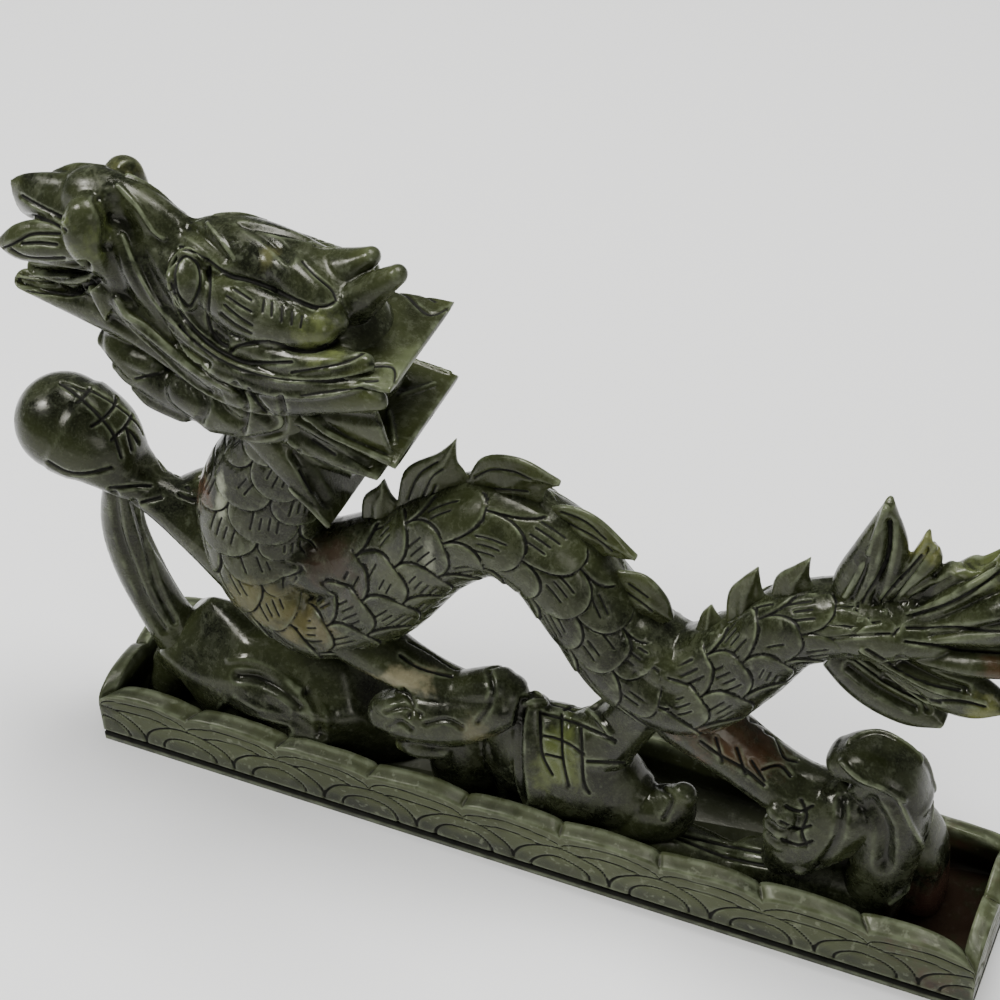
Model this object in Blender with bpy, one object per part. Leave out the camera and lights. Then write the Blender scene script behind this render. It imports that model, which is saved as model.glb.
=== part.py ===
"""Dragon carved with its wave tray from one block of dark green serpentine.

Metres, +Z up. The origin is the middle of the tray's flat underside, +X runs along the tray
to the tail and -Y is the side that faces the viewer.
"""
import math

import bmesh
import bpy
from mathutils import Vector

# The block and its tray
LENGTH = 0.240
WIDTH = 0.0413
FOOT_HEIGHT = 0.0026
FOOT_GROOVE = 0.0008
GROOVE_HEIGHT = 0.0010
FLOOR_HEIGHT = 0.0070
WALL = 0.0042
RIM_PEAK = 0.0208
RIM_VALLEY = 0.0186
RIM_CORNER = 0.0153
RIM_SLOPE = 0.0014
LOBES_ALONG = 9
LOBES_ACROSS = 2
STEPS_A_LOBE = 4

# The figure: its pose and carving are shares of the block's length. One share is a 240th of
# it, and heights in the pose are counted from the block's underside, with the floor at 7.
SHARE = LENGTH / 240
POSE_FLOOR = 7
SUNK = 2.5

# Relief of the hide: how far the middle of a scale stands out
SCALE_LIFT = 0.9

# Share of the union's facets that is kept: flat and nearly flat ones go first
FACETS_KEPT = 0.6

STONE_COLOUR = (0.030, 0.042, 0.020, 1.0)
STONE_ROUGHNESS = 0.22


def place(x, y, z):
    """A point of the pose, in shares, as a place above the tray's real floor."""
    return Vector((x * SHARE, y * SHARE, FLOOR_HEIGHT + (z - POSE_FLOOR) * SHARE))


def spline(stations, steps):
    """Points on a smooth curve through the stations, whatever numbers a station holds."""
    last = len(stations) - 1
    points = []
    for i in range(steps + 1):
        at = i / steps * last
        k = min(int(at), last - 1)
        t = at - k
        p0, p1 = stations[max(k - 1, 0)], stations[k]
        p2, p3 = stations[k + 1], stations[min(k + 2, last)]
        points.append(tuple(
            0.5 * (2 * b + (c - a) * t + (2 * a - 5 * b + 4 * c - d) * t * t
                   + (3 * b - a - 3 * c + d) * t * t * t)
            for a, b, c, d in zip(p0, p1, p2, p3)))
    return points


def capped(frames, dome):
    """Close a row of ring frames with a domed or flat end at both sides."""
    ends = []
    for frame, way in ((frames[0], -1), (frames[-1], 1)):
        centre, across, through, along = frame
        reach = min(across.length, through.length) * (1 if dome > 1 else 0)
        cap = []
        for k in range(dome):
            turn = math.pi / 2 * k / dome
            middle = centre + along * way * reach * math.cos(turn)
            cap.append((middle, across * math.sin(turn), through * math.sin(turn), along))
        ends.append(cap)
    return ends[0] + frames + ends[1][::-1]


def rod_frames(stations, steps, dome=3):
    """Ring frames along stations of (x, y, z, half height in the side view, half depth)."""
    points = spline(stations, steps)
    frames = []
    for i, (x, y, z, high, deep) in enumerate(points):
        ahead = place(*points[min(i + 1, steps)][:3]) - place(*points[max(i - 1, 0)][:3])
        along = ahead.normalized()
        through = (Vector((0, 1, 0)) - along * along.y).normalized()
        across = along.cross(through)
        high, deep = max(high, 0.05), max(deep, 0.05)
        frames.append((place(x, y, z), across * high * SHARE, through * deep * SHARE, along))
    return capped(frames, dome)


def blade_frames(upper, lower, depths, thicks, steps, dome=1):
    """Ring frames of a leaf between two edges of (x, z) points, from its root to its tip."""
    one, other = spline(upper, steps), spline(lower, steps)
    depth, thick = spline(depths, steps), spline(thicks, steps)
    frames = []
    for i in range(steps + 1):
        y = depth[i][0]
        a, b = place(one[i][0], y, one[i][1]), place(other[i][0], y, other[i][1])
        through = Vector((0, thick[i][0] * SHARE, 0)) if (a - b).length > SHARE / 10 else Vector()
        along = (a + b).normalized()
        frames.append(((a + b) / 2, (a - b) / 2, through, along))
    return capped(frames, dome)


def skin(name, rows, columns, point, low=None):
    """A closed skin: point(row, column) bends a grid round, and its seam and poles are welded.

    Where low(row, column) is true the skin is creased from one such place to the next.
    """
    mesh = bpy.data.meshes.new(name)
    bm = bmesh.new()
    bmesh.ops.create_grid(bm, x_segments=rows, y_segments=columns, size=1)
    creases = []
    for vertex in bm.verts:
        row = round((vertex.co.x + 1) / 2 * rows)
        column = round((vertex.co.y + 1) / 2 * columns)
        vertex.co = point(row, column % columns)
        if low and low(row, column):
            creases.append(vertex)
    if creases:
        bmesh.ops.connect_verts(bm, verts=creases)
    bmesh.ops.remove_doubles(bm, verts=bm.verts, dist=1e-6)
    bmesh.ops.dissolve_degenerate(bm, edges=bm.edges, dist=1e-6)
    bmesh.ops.triangulate(bm, faces=bm.faces)
    bmesh.ops.recalc_face_normals(bm, faces=bm.faces)
    bm.to_mesh(mesh)
    bm.free()
    item = bpy.data.objects.new(name, mesh)
    bpy.context.scene.collection.objects.link(item)
    return item


def carve(name, frames, sides=10, square=1.0, flutes=0, flute_depth=0.0, relief=None):
    """Skin a row of ring frames; square under 1 is boxy, over 1 is a sharp-edged leaf."""
    def low(row, column):
        return not relief(row, column)

    def point(row, column):
        centre, across, through, _ = frames[row]
        turn = 2 * math.pi * column / sides
        c, s = math.cos(turn), math.sin(turn)
        wide = math.copysign(abs(c) ** square, c)
        deep = math.copysign(abs(s) ** square, s)
        if flutes:
            deep *= 1 - flute_depth * (0.5 - 0.5 * math.cos(math.pi * flutes * (wide + 1)))
        lift = relief(row, column) * SHARE if relief else 0
        out = across * wide + through * deep
        return centre + out + (out.normalized() * lift if lift else Vector())
    return skin(name, len(frames) - 1, sides, point, low if relief else None)


def rod(name, stations, steps=5, sides=8, square=1.0, dome=2, **look):
    return carve(name, rod_frames(stations, steps, dome), sides, square, **look)


def blade(name, upper, lower, depths, thicks, steps=4, sides=6, square=1.1, **look):
    frames = blade_frames(upper, lower, depths, thicks, steps)
    return carve(name, frames, sides, square, **look)


def both_sides(make, name, *forms, **look):
    """Carve a form on the near side and its mirror image on the far side."""
    made = []
    for side, sign in (("near", 1), ("far", -1)):
        turned = [[(p[0], p[1] * sign, *p[2:]) for p in form] for form in forms]
        made.append(make(name + "_" + side, *turned, **look))
    return made


# The tray: foot, groove, side with a scalloped rim, inner wall and floor
def rim_height(step, steps, corner_before, corner_after):
    """Height of the rim along one lobe; the lobes at a corner come down lower."""
    t = step / steps
    low = RIM_VALLEY
    if corner_before and t < 0.5 or corner_after and t > 0.5:
        low = RIM_CORNER
    return low + (RIM_PEAK - low) * math.sqrt(max(0.0, 1 - (2 * t - 1) ** 2))


def rim_loop():
    """Around the tray: (share of half length, share of half width, rim height)."""
    corners = ((-1, -1), (1, -1), (1, 1), (-1, 1))
    loop = []
    for side in range(4):
        lobes = LOBES_ALONG if side % 2 == 0 else LOBES_ACROSS
        (x0, y0), (x1, y1) = corners[side], corners[(side + 1) % 4]
        for lobe in range(lobes):
            for step in range(STEPS_A_LOBE):
                t = (lobe + step / STEPS_A_LOBE) / lobes
                high = rim_height(step, STEPS_A_LOBE, lobe == 0, lobe == lobes - 1)
                loop.append((x0 + (x1 - x0) * t, y0 + (y1 - y0) * t, high))
    return loop


def tray():
    loop = rim_loop()
    rows = (
        (None, lambda h: 0.0),
        (0.0, lambda h: 0.0),
        (0.0, lambda h: FOOT_HEIGHT),
        (FOOT_GROOVE, lambda h: FOOT_HEIGHT),
        (FOOT_GROOVE, lambda h: FOOT_HEIGHT + GROOVE_HEIGHT),
        (0.0, lambda h: FOOT_HEIGHT + GROOVE_HEIGHT),
        (0.0, lambda h: h - RIM_SLOPE),
        (WALL, lambda h: h),
        (WALL, lambda h: FLOOR_HEIGHT),
        (None, lambda h: FLOOR_HEIGHT),
    )

    def point(row, column):
        inset, height = rows[row]
        x, y, high = loop[column]
        if inset is None:
            return Vector((0, 0, height(high)))
        return Vector((x * (LENGTH / 2 - inset), y * (WIDTH / 2 - inset), height(high)))
    return skin("dragon_carving", len(rows) - 1, len(loop), point)


# The body: one S-bend from the neck down to the rock, over the hump, down to the hip and up
BODY = (
    (-60, 0, 124, 11, 11), (-64, 0, 108, 12.5, 11.5), (-71, 0, 92, 16, 12.5), (-75, 0, 76, 16.5, 13),
    (-71, 0, 60, 14.5, 13), (-58, 0, 52, 11.5, 13), (-42, 0, 65, 12.5, 12.5), (-27, 0, 86, 13, 12),
    (-11, 0, 98, 13, 12), (3.5, 0, 94.5, 13, 12), (14, 0, 81.5, 12.8, 12), (25, 0, 66.5, 12, 12.5),
    (40.5, 0, 62, 11, 12.5), (53, 0, 76, 10.5, 11.5), (63, 0, 91, 10, 10), (76, 0, 99, 9, 9),
    (88, 0, 103, 7, 8),
)
BODY_STEPS = 62
BODY_SIDES = 14


def body():
    frames = rod_frames(BODY, BODY_STEPS, dome=2)

    def relief(row, column):
        """Scales in staggered rows: every second place of a row stands out."""
        return SCALE_LIFT if (row + column) % 2 else 0.0
    return carve("body", frames, BODY_SIDES, relief=relief)


def bend_webs():
    """Stone left in the inner corners of the bends, behind the neck and over the hip."""
    return [
        rod("neck_web", ((-66, 0, 72, 10, 10), (-53, 0, 72, 11, 10), (-37, 0, 84, 9, 9)), steps=4),
        rod("hip_web", ((26, 0, 76, 8, 10), (38, 0, 71, 8, 10), (50, 0, 80, 8, 9)), steps=4),
    ]


def dorsal_fins():
    """Flame fins along the back: front edge, back edge, from root to tip, sunk in the back."""
    fins = (
        (((-46, 85), (-45, 95), (-41, 100), (-39, 103)), ((-34, 92), (-35, 96), (-37, 98), (-39, 103))),
        (((-36, 95), (-33, 108), (-24, 116), (-19, 122)), ((-15, 105), (-17, 112), (-19, 115), (-19, 122))),
        (((-18, 106), (-13, 118), (-3, 121), (7, 117)), ((2, 106), (3, 112), (4, 114), (7, 116))),
        (((-1, 104), (7, 110), (16, 109), (26, 100)), ((16, 95), (19, 98), (22, 98), (25.5, 99))),
        (((17, 93), (27, 95), (33, 90), (35, 84)), ((29, 78), (32, 80), (33, 81), (35, 83))),
        (((39, 74), (41, 84), (42, 88), (44, 91)), ((48, 82), (47, 86), (46, 88), (44, 91))),
        (((48, 84), (48, 96), (51, 102), (55, 107)), ((58, 93), (57, 98), (56, 101), (55, 107))),
        (((58, 95), (59, 105), (63, 110), (67, 114)), ((69, 103), (68, 106), (67, 108), (67, 114))),
    )
    return [blade(f"fin_{n}", front, back, ((0,), (0,)), ((2.6,), (1.7,), (0.8,)), steps=4, sides=6)
            for n, (front, back) in enumerate(fins)]


# The tail: a fan of fluted flames that grows out of the body's end
def tail_fan():
    lobes = (
        (((73, 97), (71, 110), (76, 123), (83, 136)), ((83, 98), (89, 115), (88.5, 127), (83, 136)), 0, 4.5, 3),
        (((80, 98), (86, 114), (93, 130)), ((86, 100), (94, 115), (95, 129)), 1, 3.5, 2),
        (((84, 104), (97, 121), (110, 130), (124, 137)), ((88, 100), (102, 110), (114, 122), (124, 137)), 2, 6, 3),
        (((84, 104), (102, 112), (116, 119), (129, 121)), ((86, 96), (102, 101), (118, 108), (129, 121)), -2, 7, 3),
        (((84, 100), (102, 103), (116, 104), (127, 102)), ((84, 93), (102, 91), (118, 93), (127, 102)), 1, 6, 3),
        (((82, 96), (95, 95), (106, 91), (113, 80.5)), ((80, 88), (91, 82), (103, 77), (113, 80.5)), -3, 5, 2),
        (((76, 94), (87, 87.5), (101, 76.5)), ((68, 87), (79, 77), (98, 71)), 3, 5, 2),
    )
    made = [rod("tail_root", ((74, 0, 98, 9, 9), (86, 0, 101, 9, 9.5), (97, 0, 103, 6, 8)), steps=4)]
    for n, (upper, lower, y, thick, flutes) in enumerate(lobes):
        made.append(blade(f"tail_lobe_{n}", upper, lower, ((y * 0.3,), (y,)),
                          ((thick,), (thick,), (thick * 0.35,)), steps=5, sides=12, square=1.0,
                          flutes=flutes, flute_depth=0.35))
    return made


# The head: skull and snout, nose, lips, jaw, brows, eyes, cheeks, horns
def head():
    made = [
        rod("skull", ((-113, 0, 161, 8, 8), (-101, 0, 156, 12, 10), (-88, 0, 150, 14, 11.5),
                      (-74, 0, 146, 15, 13), (-60, 0, 143, 15, 14), (-44, 0, 141, 12, 13)),
            steps=8, sides=12, square=0.9),
        rod("snout_ridge", ((-107, 0, 168, 6, 6), (-97, 0, 163, 6, 4), (-82, 0, 157.5, 6, 4)), steps=3, sides=8),
        rod("nose", ((-109, 0, 168, 7, 8), (-104, 0, 169, 7.5, 10), (-99, 0, 167, 6, 8)), steps=4),
        rod("forehead", ((-83, 0, 160, 6, 6), (-76, 0, 162, 7, 7), (-66, 0, 160, 7, 7)), steps=3),
        rod("jaw", ((-132.5, 0, 139, 2.4, 3), (-122, 0, 139, 3.4, 6), (-110, 0, 138.5, 6.3, 8),
                    (-96, 0, 137, 8, 10), (-80, 0, 133, 11, 12)), steps=6, square=0.9),
        rod("throat", ((-105, 0, 128, 5.5, 8.5), (-96.5, 0, 121, 7, 9), (-85, 0, 117.5, 7.5, 9.5),
                       (-74, 0, 119, 9, 11)), steps=5),
        blade("lip_leaf_middle", ((-106, 173), (-118, 171), (-132.5, 164.5)),
              ((-108, 155), (-122, 155), (-133, 163.5)), ((0,), (0,)), ((6,), (5,), (1,)), steps=4),
        rod("horn_far", ((-64, 1, 154, 6, 7), (-53, 2, 157, 6, 6), (-45, 3, 161.5, 4, 4.5),
                         (-39, 3, 166, 2.4, 2.6)), steps=5),
        rod("horn_near", ((-54, -2, 150, 6, 6), (-41, -2, 157, 5, 5), (-35, -2, 163, 3.6, 4),
                          (-30, -2, 167.5, 2.6, 2.8)), steps=5),
    ]
    made += both_sides(rod, "nostril", ((-107, -8, 160, 4, 4), (-106, -9.5, 164.5, 5, 5), (-105, -8.5, 169, 4, 4)), steps=3)
    made += both_sides(rod, "eye", ((-79.5, -10, 153, 3, 2.5), (-79.5, -10.5, 156.5, 4, 3.4), (-78.5, -9, 160, 2.5, 2.5)), steps=3, sides=8)
    made += both_sides(rod, "brow_crest", ((-67, -4, 156, 5, 5), (-57, -5, 154.5, 5.5, 5.5), (-48, -8, 149, 5, 5)), steps=3)
    made += both_sides(rod, "cheek", ((-79.5, -7.5, 156, 4, 5), (-68.5, -9, 155, 8, 6), (-56.5, -9.5, 152.5, 7.5, 6),
                                      (-46.5, -9.5, 152.5, 4, 4)), steps=5)
    made += both_sides(rod, "lip_strand", ((-106, -7, 150, 3, 4), (-98, -9.5, 145, 3, 4), (-88, -11.5, 139, 3.5, 4),
                                           (-76, -13, 132, 3.5, 4), (-62, -15, 131, 3.5, 4),
                                           (-45, -16, 137, 3.5, 3), (-31, -16.5, 142, 3, 1.5)), steps=8, sides=6, dome=1)
    made += both_sides(rod, "cheek_strand", ((-90, -10, 152, 3, 3), (-80, -12, 143, 3.5, 4), (-64, -14, 139, 3.5, 4),
                                             (-46, -15, 142, 3.5, 3), (-36, -15, 144, 2.5, 2)), steps=6, sides=6, dome=1)
    made += both_sides(rod, "tooth", ((-105, -8, 143, 2.2, 2), (-105, -8, 140, 1.8, 1.6), (-106, -8, 136.5, 0.4, 0.4)),
                       steps=2, sides=6, dome=1)
    made += both_sides(rod, "chin_ball", ((-81, -8, 119, 5, 4), (-77, -9, 120, 6, 5), (-72, -8, 118, 5, 4)), steps=3)
    for side, sign in (("near", -1), ("far", 1)):
        made.append(blade("lip_leaf_" + side, ((-106, 166), (-120, 163), (-132, 153)),
                          ((-106, 149), (-121, 148), (-132, 152)), ((sign * 6,), (sign * 8,)),
                          ((4,), (3.5,), (0.8,)), steps=4))
    return made


def mane():
    """Three layers of hair behind the cheeks, as wide as the block and cut straight behind."""
    layers = (
        ("mane_top", ((-62, 0, 141, 11, 12), (-43, 0, 136.3, 5.6, 15.5), (-26, 0, 147, 1.4, 17.5))),
        ("mane_middle", ((-66, 0, 130, 9, 12), (-46, 0, 130, 6, 16), (-25, 0, 125.5, 1.4, 18))),
        ("mane_low", ((-70, 0, 122, 7, 11), (-58, 0, 111, 5, 14), (-48, 0, 96.5, 1.2, 14))),
    )
    return [rod(name, stations, steps=4, sides=12, square=0.6, dome=1) for name, stations in layers]


# The near forepaw stretches forward with a ball in its claw, over a wave that holds it up
def pearl_and_arm():
    made = [
        rod("pearl", ((-128.8, 0, 93.7, 12.7, 12.7), (-128.3, 0, 93.5, 12.7, 12.7)), steps=1, sides=14, dome=4),
        rod("hand", ((-125.8, 0, 93, 13.2, 13.2), (-119, 0, 89.5, 12, 12), (-112, 0, 83, 7, 8.5),
                     (-105, 0, 79, 4.5, 6)), steps=5, sides=10, dome=1),
        rod("pearl_arm", ((-110, 0, 80, 5, 6), (-101, 0, 76, 6, 7), (-90, 0, 70, 8, 9),
                          (-80, 0, 64, 10, 11)), steps=5),
        rod("far_shoulder", ((-98, 6, 72, 7, 7), (-92, 6, 75, 8, 8), (-84, 5, 78, 8.5, 8)), steps=3),
        rod("wave_strut", ((-115, 0, 76, 5, 5), (-116.5, 0, 63, 6.2, 5), (-114.5, 0, 50, 7, 5.5),
                           (-109.5, 0, 36, 7, 6), (-102.5, -1, 25, 7, 7)), steps=6),
    ]
    return made


# Rocks and waves that fill the tray and carry the figure
def rocks():
    low = POSE_FLOOR - SUNK
    return [
        rod("wave_rock", ((-107, 0, 20, 9, 7), (-97, 0, 24.5, 17, 12), (-78, -1, 24, 19, 14),
                          (-58, -1, 21, 16, 14), (-42, -1, 17, 12, 11)), steps=7, sides=14, square=0.75, dome=2),
        rod("rock_leaf", ((-78, -13, 20, 4, 3), (-68, -14, 18, 5, 3.5), (-58, -14, 16, 4, 2.5)), steps=4, sides=8),
        rod("ledge", ((-110, -3, low, 6, 6), (-108, -3, 12, 5, 6), (-106, -3, 19, 4, 5)), steps=2, square=0.7, dome=1),
        rod("low_wave", ((28, -6, 9, 6, 7), (44, -7, 11, 6, 7), (60, -8, 9, 5, 6), (74, -8, 9, 5, 5)), steps=6, sides=8),
        rod("back_slab", ((100, 5, low, 6, 8), (99, 5, 22, 6, 8), (97, 5, 31, 4.5, 7), (95, 5, 37, 2.5, 4)),
            steps=4, sides=8, square=0.6, dome=1),
        rod("paw_rock", ((60, -6, 12, 8, 7), (74, -6, 14, 9, 8), (88, -4, 12, 8, 8)), steps=4),
    ]


# The legs that stand in the tray
def legs():
    low = POSE_FLOOR - SUNK
    made = [
        rod("near_foreleg", ((-50, -3, 51.5, 8, 9), (-34, -5, 46, 6, 7), (-18, -6, 43.5, 5.2, 6), (-6, -6, 47, 6, 6)), steps=5),
        rod("near_elbow", ((-9, -6, 46, 5.5, 5.5), (-5, -6, 51, 5.5, 5.5)), steps=2, sides=8),
        rod("near_paw", ((-7, -8, 45, 6, 6), (-18, -9, 38, 8, 7), (-30, -10, 35, 8, 7), (-38, -10, 33, 5, 6)), steps=4),
        rod("paw_post", ((-18, -5, low, 9, 7), (-20, -6, 20, 9, 7), (-22, -7, 33, 8, 6)), steps=2, sides=8, dome=1),
        rod("middle_leg", ((32, -2, 64, 9, 9), (26, -4, 50, 7, 7), (17, -5, 38, 10, 8), (8, -5, 28, 13, 9)), steps=6),
        rod("middle_paw", ((-7, -5, 23, 11, 6), (2, -5, 26, 18.5, 9), (12, -5, 25, 19.5, 10), (24, -5, 19, 13, 8)),
            steps=6, sides=12, square=0.9, dome=1),
        rod("heel_tuft", ((26, -6, 14, 9, 7), (36, -6, 22, 8, 6), (41, -6, 30, 3.5, 3)), steps=4, sides=8),
        rod("hind_thigh", ((40, -2, 56, 10, 9), (56, -3, 47, 8, 8), (70, -4, 41, 8, 8), (83, -4, 41, 9, 8)), steps=5),
        rod("hind_paw", ((82, -6, 42, 9, 8), (76, -7, 34, 10, 8), (70, -8, 26, 8, 7), (67, -8, 21, 5, 5)), steps=5),
        rod("hind_knob", ((79, -2, 55, 4, 5), (86, -2, 58, 5, 6), (92, -2, 53, 5, 6)), steps=3),
        rod("wave_curl", ((82, -2, 57, 5, 6), (91, -3, 50, 8, 7), (93, -4, 38, 8, 7), (91, -6, 22, 8, 6),
                          (89, -6, low, 7, 5)), steps=6, sides=12, flutes=3, flute_depth=0.3, dome=1),
    ]
    for n, (x, z) in enumerate(((-34, 39), (-33, 33), (-28, 28))):
        made.append(rod(f"near_toe_{n}", ((x + 6, -12, z, 3.2, 3.4), (x, -13, z - 1, 3.4, 3.4),
                                          (x - 5, -12, z - 3, 2.2, 2.4)), steps=3, sides=8))
    for n in range(3):
        x = -8 + 6.5 * n
        made.append(rod(f"middle_toe_{n}", ((x, -11, 44 - 3 * n, 3, 3), (x - 1, -14, 30 - n, 3.4, 3.4),
                                            (x, -13, 16, 3, 3)), steps=4, sides=8))
    return made


def build():
    for item in list(bpy.data.objects):
        bpy.data.objects.remove(item, do_unlink=True)
    carving = tray()
    forms = [body()] + bend_webs() + dorsal_fins() + tail_fan() + head() + mane() + pearl_and_arm() + rocks() + legs()
    carved = bpy.data.collections.new("carved_forms")
    bpy.context.scene.collection.children.link(carved)
    for form in forms:
        bpy.context.scene.collection.objects.unlink(form)
        carved.objects.link(form)
        form.hide_render = True
        form.display_type = 'WIRE'
    union = carving.modifiers.new("one_stone", 'BOOLEAN')
    union.operation = 'UNION'
    union.solver = 'EXACT'
    union.operand_type = 'COLLECTION'
    union.collection = carved
    union.use_self = True
    thin = carving.modifiers.new("fewer_facets", 'DECIMATE')
    thin.decimate_type = 'COLLAPSE'
    thin.ratio = FACETS_KEPT
    stone = bpy.data.materials.new("serpentine")
    stone.use_nodes = True
    finish = stone.node_tree.nodes["Principled BSDF"]
    finish.inputs["Base Color"].default_value = STONE_COLOUR
    finish.inputs["Roughness"].default_value = STONE_ROUGHNESS
    finish.inputs["Metallic"].default_value = 0.0
    carving.data.materials.append(stone)
    return carving


build()
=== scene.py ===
"""A dragon carved with its wave tray from one block of dark green serpentine, on a pale floor."""

import math

import bmesh
import bpy
import numpy as np
from mathutils import Matrix, Vector, noise
from mathutils.bvhtree import BVHTree


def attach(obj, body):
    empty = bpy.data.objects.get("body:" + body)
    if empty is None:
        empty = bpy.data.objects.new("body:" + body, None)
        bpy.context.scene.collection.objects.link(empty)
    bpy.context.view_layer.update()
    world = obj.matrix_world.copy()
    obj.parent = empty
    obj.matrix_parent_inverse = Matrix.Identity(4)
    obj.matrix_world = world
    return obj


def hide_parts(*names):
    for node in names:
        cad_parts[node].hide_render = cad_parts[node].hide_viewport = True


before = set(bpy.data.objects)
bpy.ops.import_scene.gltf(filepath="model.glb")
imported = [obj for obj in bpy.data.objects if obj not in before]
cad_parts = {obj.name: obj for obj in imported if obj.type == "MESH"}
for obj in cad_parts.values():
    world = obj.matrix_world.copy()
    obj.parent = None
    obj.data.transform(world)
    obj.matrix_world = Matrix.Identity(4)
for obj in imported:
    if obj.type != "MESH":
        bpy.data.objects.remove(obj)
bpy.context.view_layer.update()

# The viewer's eye. The carver's marks are laid out as they are seen from here, on a sheet of
# 1000 by 1000 steps, and the camera stands in the same place.
EYE = Vector((0.17176, -0.38398, 0.48860))
TURN, LOOK_DOWN, LEAN = math.radians(25.149), math.radians(42.022), math.radians(-2.529)
SHEET = 1000
REACH = 2444.64
behind = Vector((math.sin(TURN) * math.cos(LOOK_DOWN), -math.cos(TURN) * math.cos(LOOK_DOWN),
                 math.sin(LOOK_DOWN)))
level = (-behind).cross(Vector((0, 0, 1))).normalized()
upright = level.cross(-behind)
RIGHT = math.cos(LEAN) * level + math.sin(LEAN) * upright
UP = -math.sin(LEAN) * level + math.cos(LEAN) * upright
AHEAD = -behind


def stand(name, data):
    """Put data in the scene as an object of that name."""
    made = bpy.data.objects.new(name, data)
    bpy.context.scene.collection.objects.link(made)
    return made


lens = bpy.data.cameras.new("viewer")
lens.sensor_width = 36
lens.lens = REACH * 36 / SHEET
viewer = stand("viewer", lens)
viewer.matrix_world = Matrix((
    (RIGHT.x, UP.x, -AHEAD.x, EYE.x),
    (RIGHT.y, UP.y, -AHEAD.y, EYE.y),
    (RIGHT.z, UP.z, -AHEAD.z, EYE.z),
    (0, 0, 0, 1)))
bpy.context.scene.camera = viewer


# The body: one S-bend from the neck over the hump to the tail, covered in staggered scales. Each
# scale is an arc cut with a disc, with a few short cuts in it; plates cross the belly. The stone
# is near black green where it is thick and olive where it is thin, a painted glow of light through
# the stone, and the cuts are painted near black.
def group(name, ins, outs):
    """A new shader node group with its sockets. Gives its tree and the nodes of its two ends."""
    tree = bpy.data.node_groups.new(name, 'ShaderNodeTree')
    for label, kind, value in ins:
        socket = tree.interface.new_socket(label, in_out='INPUT', socket_type="NodeSocket" + kind)
        if value is not None:
            socket.default_value = value
    for label, kind in outs:
        tree.interface.new_socket(label, in_out='OUTPUT', socket_type="NodeSocket" + kind)
    return tree, tree.nodes.new('NodeGroupInput'), tree.nodes.new('NodeGroupOutput')


def plug(tree, made, inputs):
    """Set a node's inputs; each is a value or another node's output."""
    for key, value in inputs.items():
        if isinstance(value, bpy.types.NodeSocket):
            tree.links.new(value, made.inputs[key])
        else:
            made.inputs[key].default_value = value


def node(tree, kind, inputs, **settings):
    """Add a shader node with its settings and inputs."""
    made = tree.nodes.new("ShaderNode" + kind)
    for key, value in settings.items():
        setattr(made, key, value)
    plug(tree, made, inputs)
    return made


def blend(tree, amount, one, other):
    """Mix two colours."""
    return node(tree, "Mix", {0: amount, 6: one, 7: other}, data_type='RGBA').outputs[2]


def ramp(tree, value, low, high, start=0.0, end=1.0):
    """A smooth step of a value from start at low to end at high."""
    made = node(tree, "MapRange", {0: value, 1: low, 2: high, 3: start, 4: end}, interpolation_type='SMOOTHSTEP')
    return made.outputs[0]


def maths(tree, way, one, other):
    return node(tree, "Math", {0: one, 1: other}, operation=way).outputs[0]


def times(tree, one, other):
    return maths(tree, 'MULTIPLY', one, other)


def measured(tree, name):
    """A number that each mesh carries at its points."""
    return node(tree, "Attribute", {}, attribute_name=name).outputs["Fac"]


def mottle_group():
    """Clouds, flecks, hair veins and fine grain of serpentine, as four masks."""
    tree, ins, outs = group("serpentine_mottle", (("Place", "Vector", None),),
                            (("Clouds", "Float"), ("Flecks", "Float"), ("Veins", "Float"), ("Grain", "Float")))
    place = ins.outputs["Place"]
    warp = node(tree, "TexNoise", {"Vector": place, "Scale": 60.0, "Detail": 3.0})
    bent = node(tree, "VectorMath", {0: warp.outputs["Color"], 1: (0.5, 0.5, 0.5)}, operation='SUBTRACT')
    bent = node(tree, "VectorMath", {0: bent.outputs[0], 3: 0.012}, operation='SCALE')
    bent = node(tree, "VectorMath", {0: place, 1: bent.outputs[0]}, operation='ADD').outputs[0]
    clouds = node(tree, "TexNoise", {"Vector": bent, "Scale": 55.0, "Detail": 6.0, "Roughness": 0.55})
    flecks = node(tree, "TexNoise", {"Vector": bent, "Scale": 210.0, "Detail": 8.0, "Roughness": 0.72})
    veins = node(tree, "TexVoronoi", {"Vector": bent, "Scale": 48.0}, feature='DISTANCE_TO_EDGE')
    patchy = node(tree, "TexNoise", {"Vector": place, "Scale": 35.0, "Detail": 2.0})
    thin = ramp(tree, veins.outputs["Distance"], 0.0, 0.035, 1.0, 0.0)
    some = ramp(tree, patchy.outputs[0], 0.5, 0.66)
    grain = node(tree, "TexNoise", {"Vector": place, "Scale": 1500.0, "Detail": 3.0, "Roughness": 0.6})
    plug(tree, outs, {"Clouds": ramp(tree, clouds.outputs[0], 0.36, 0.66),
                      "Flecks": ramp(tree, flecks.outputs[0], 0.42, 0.7),
                      "Veins": times(tree, thin, some), "Grain": grain.outputs[0]})
    return tree


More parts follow.
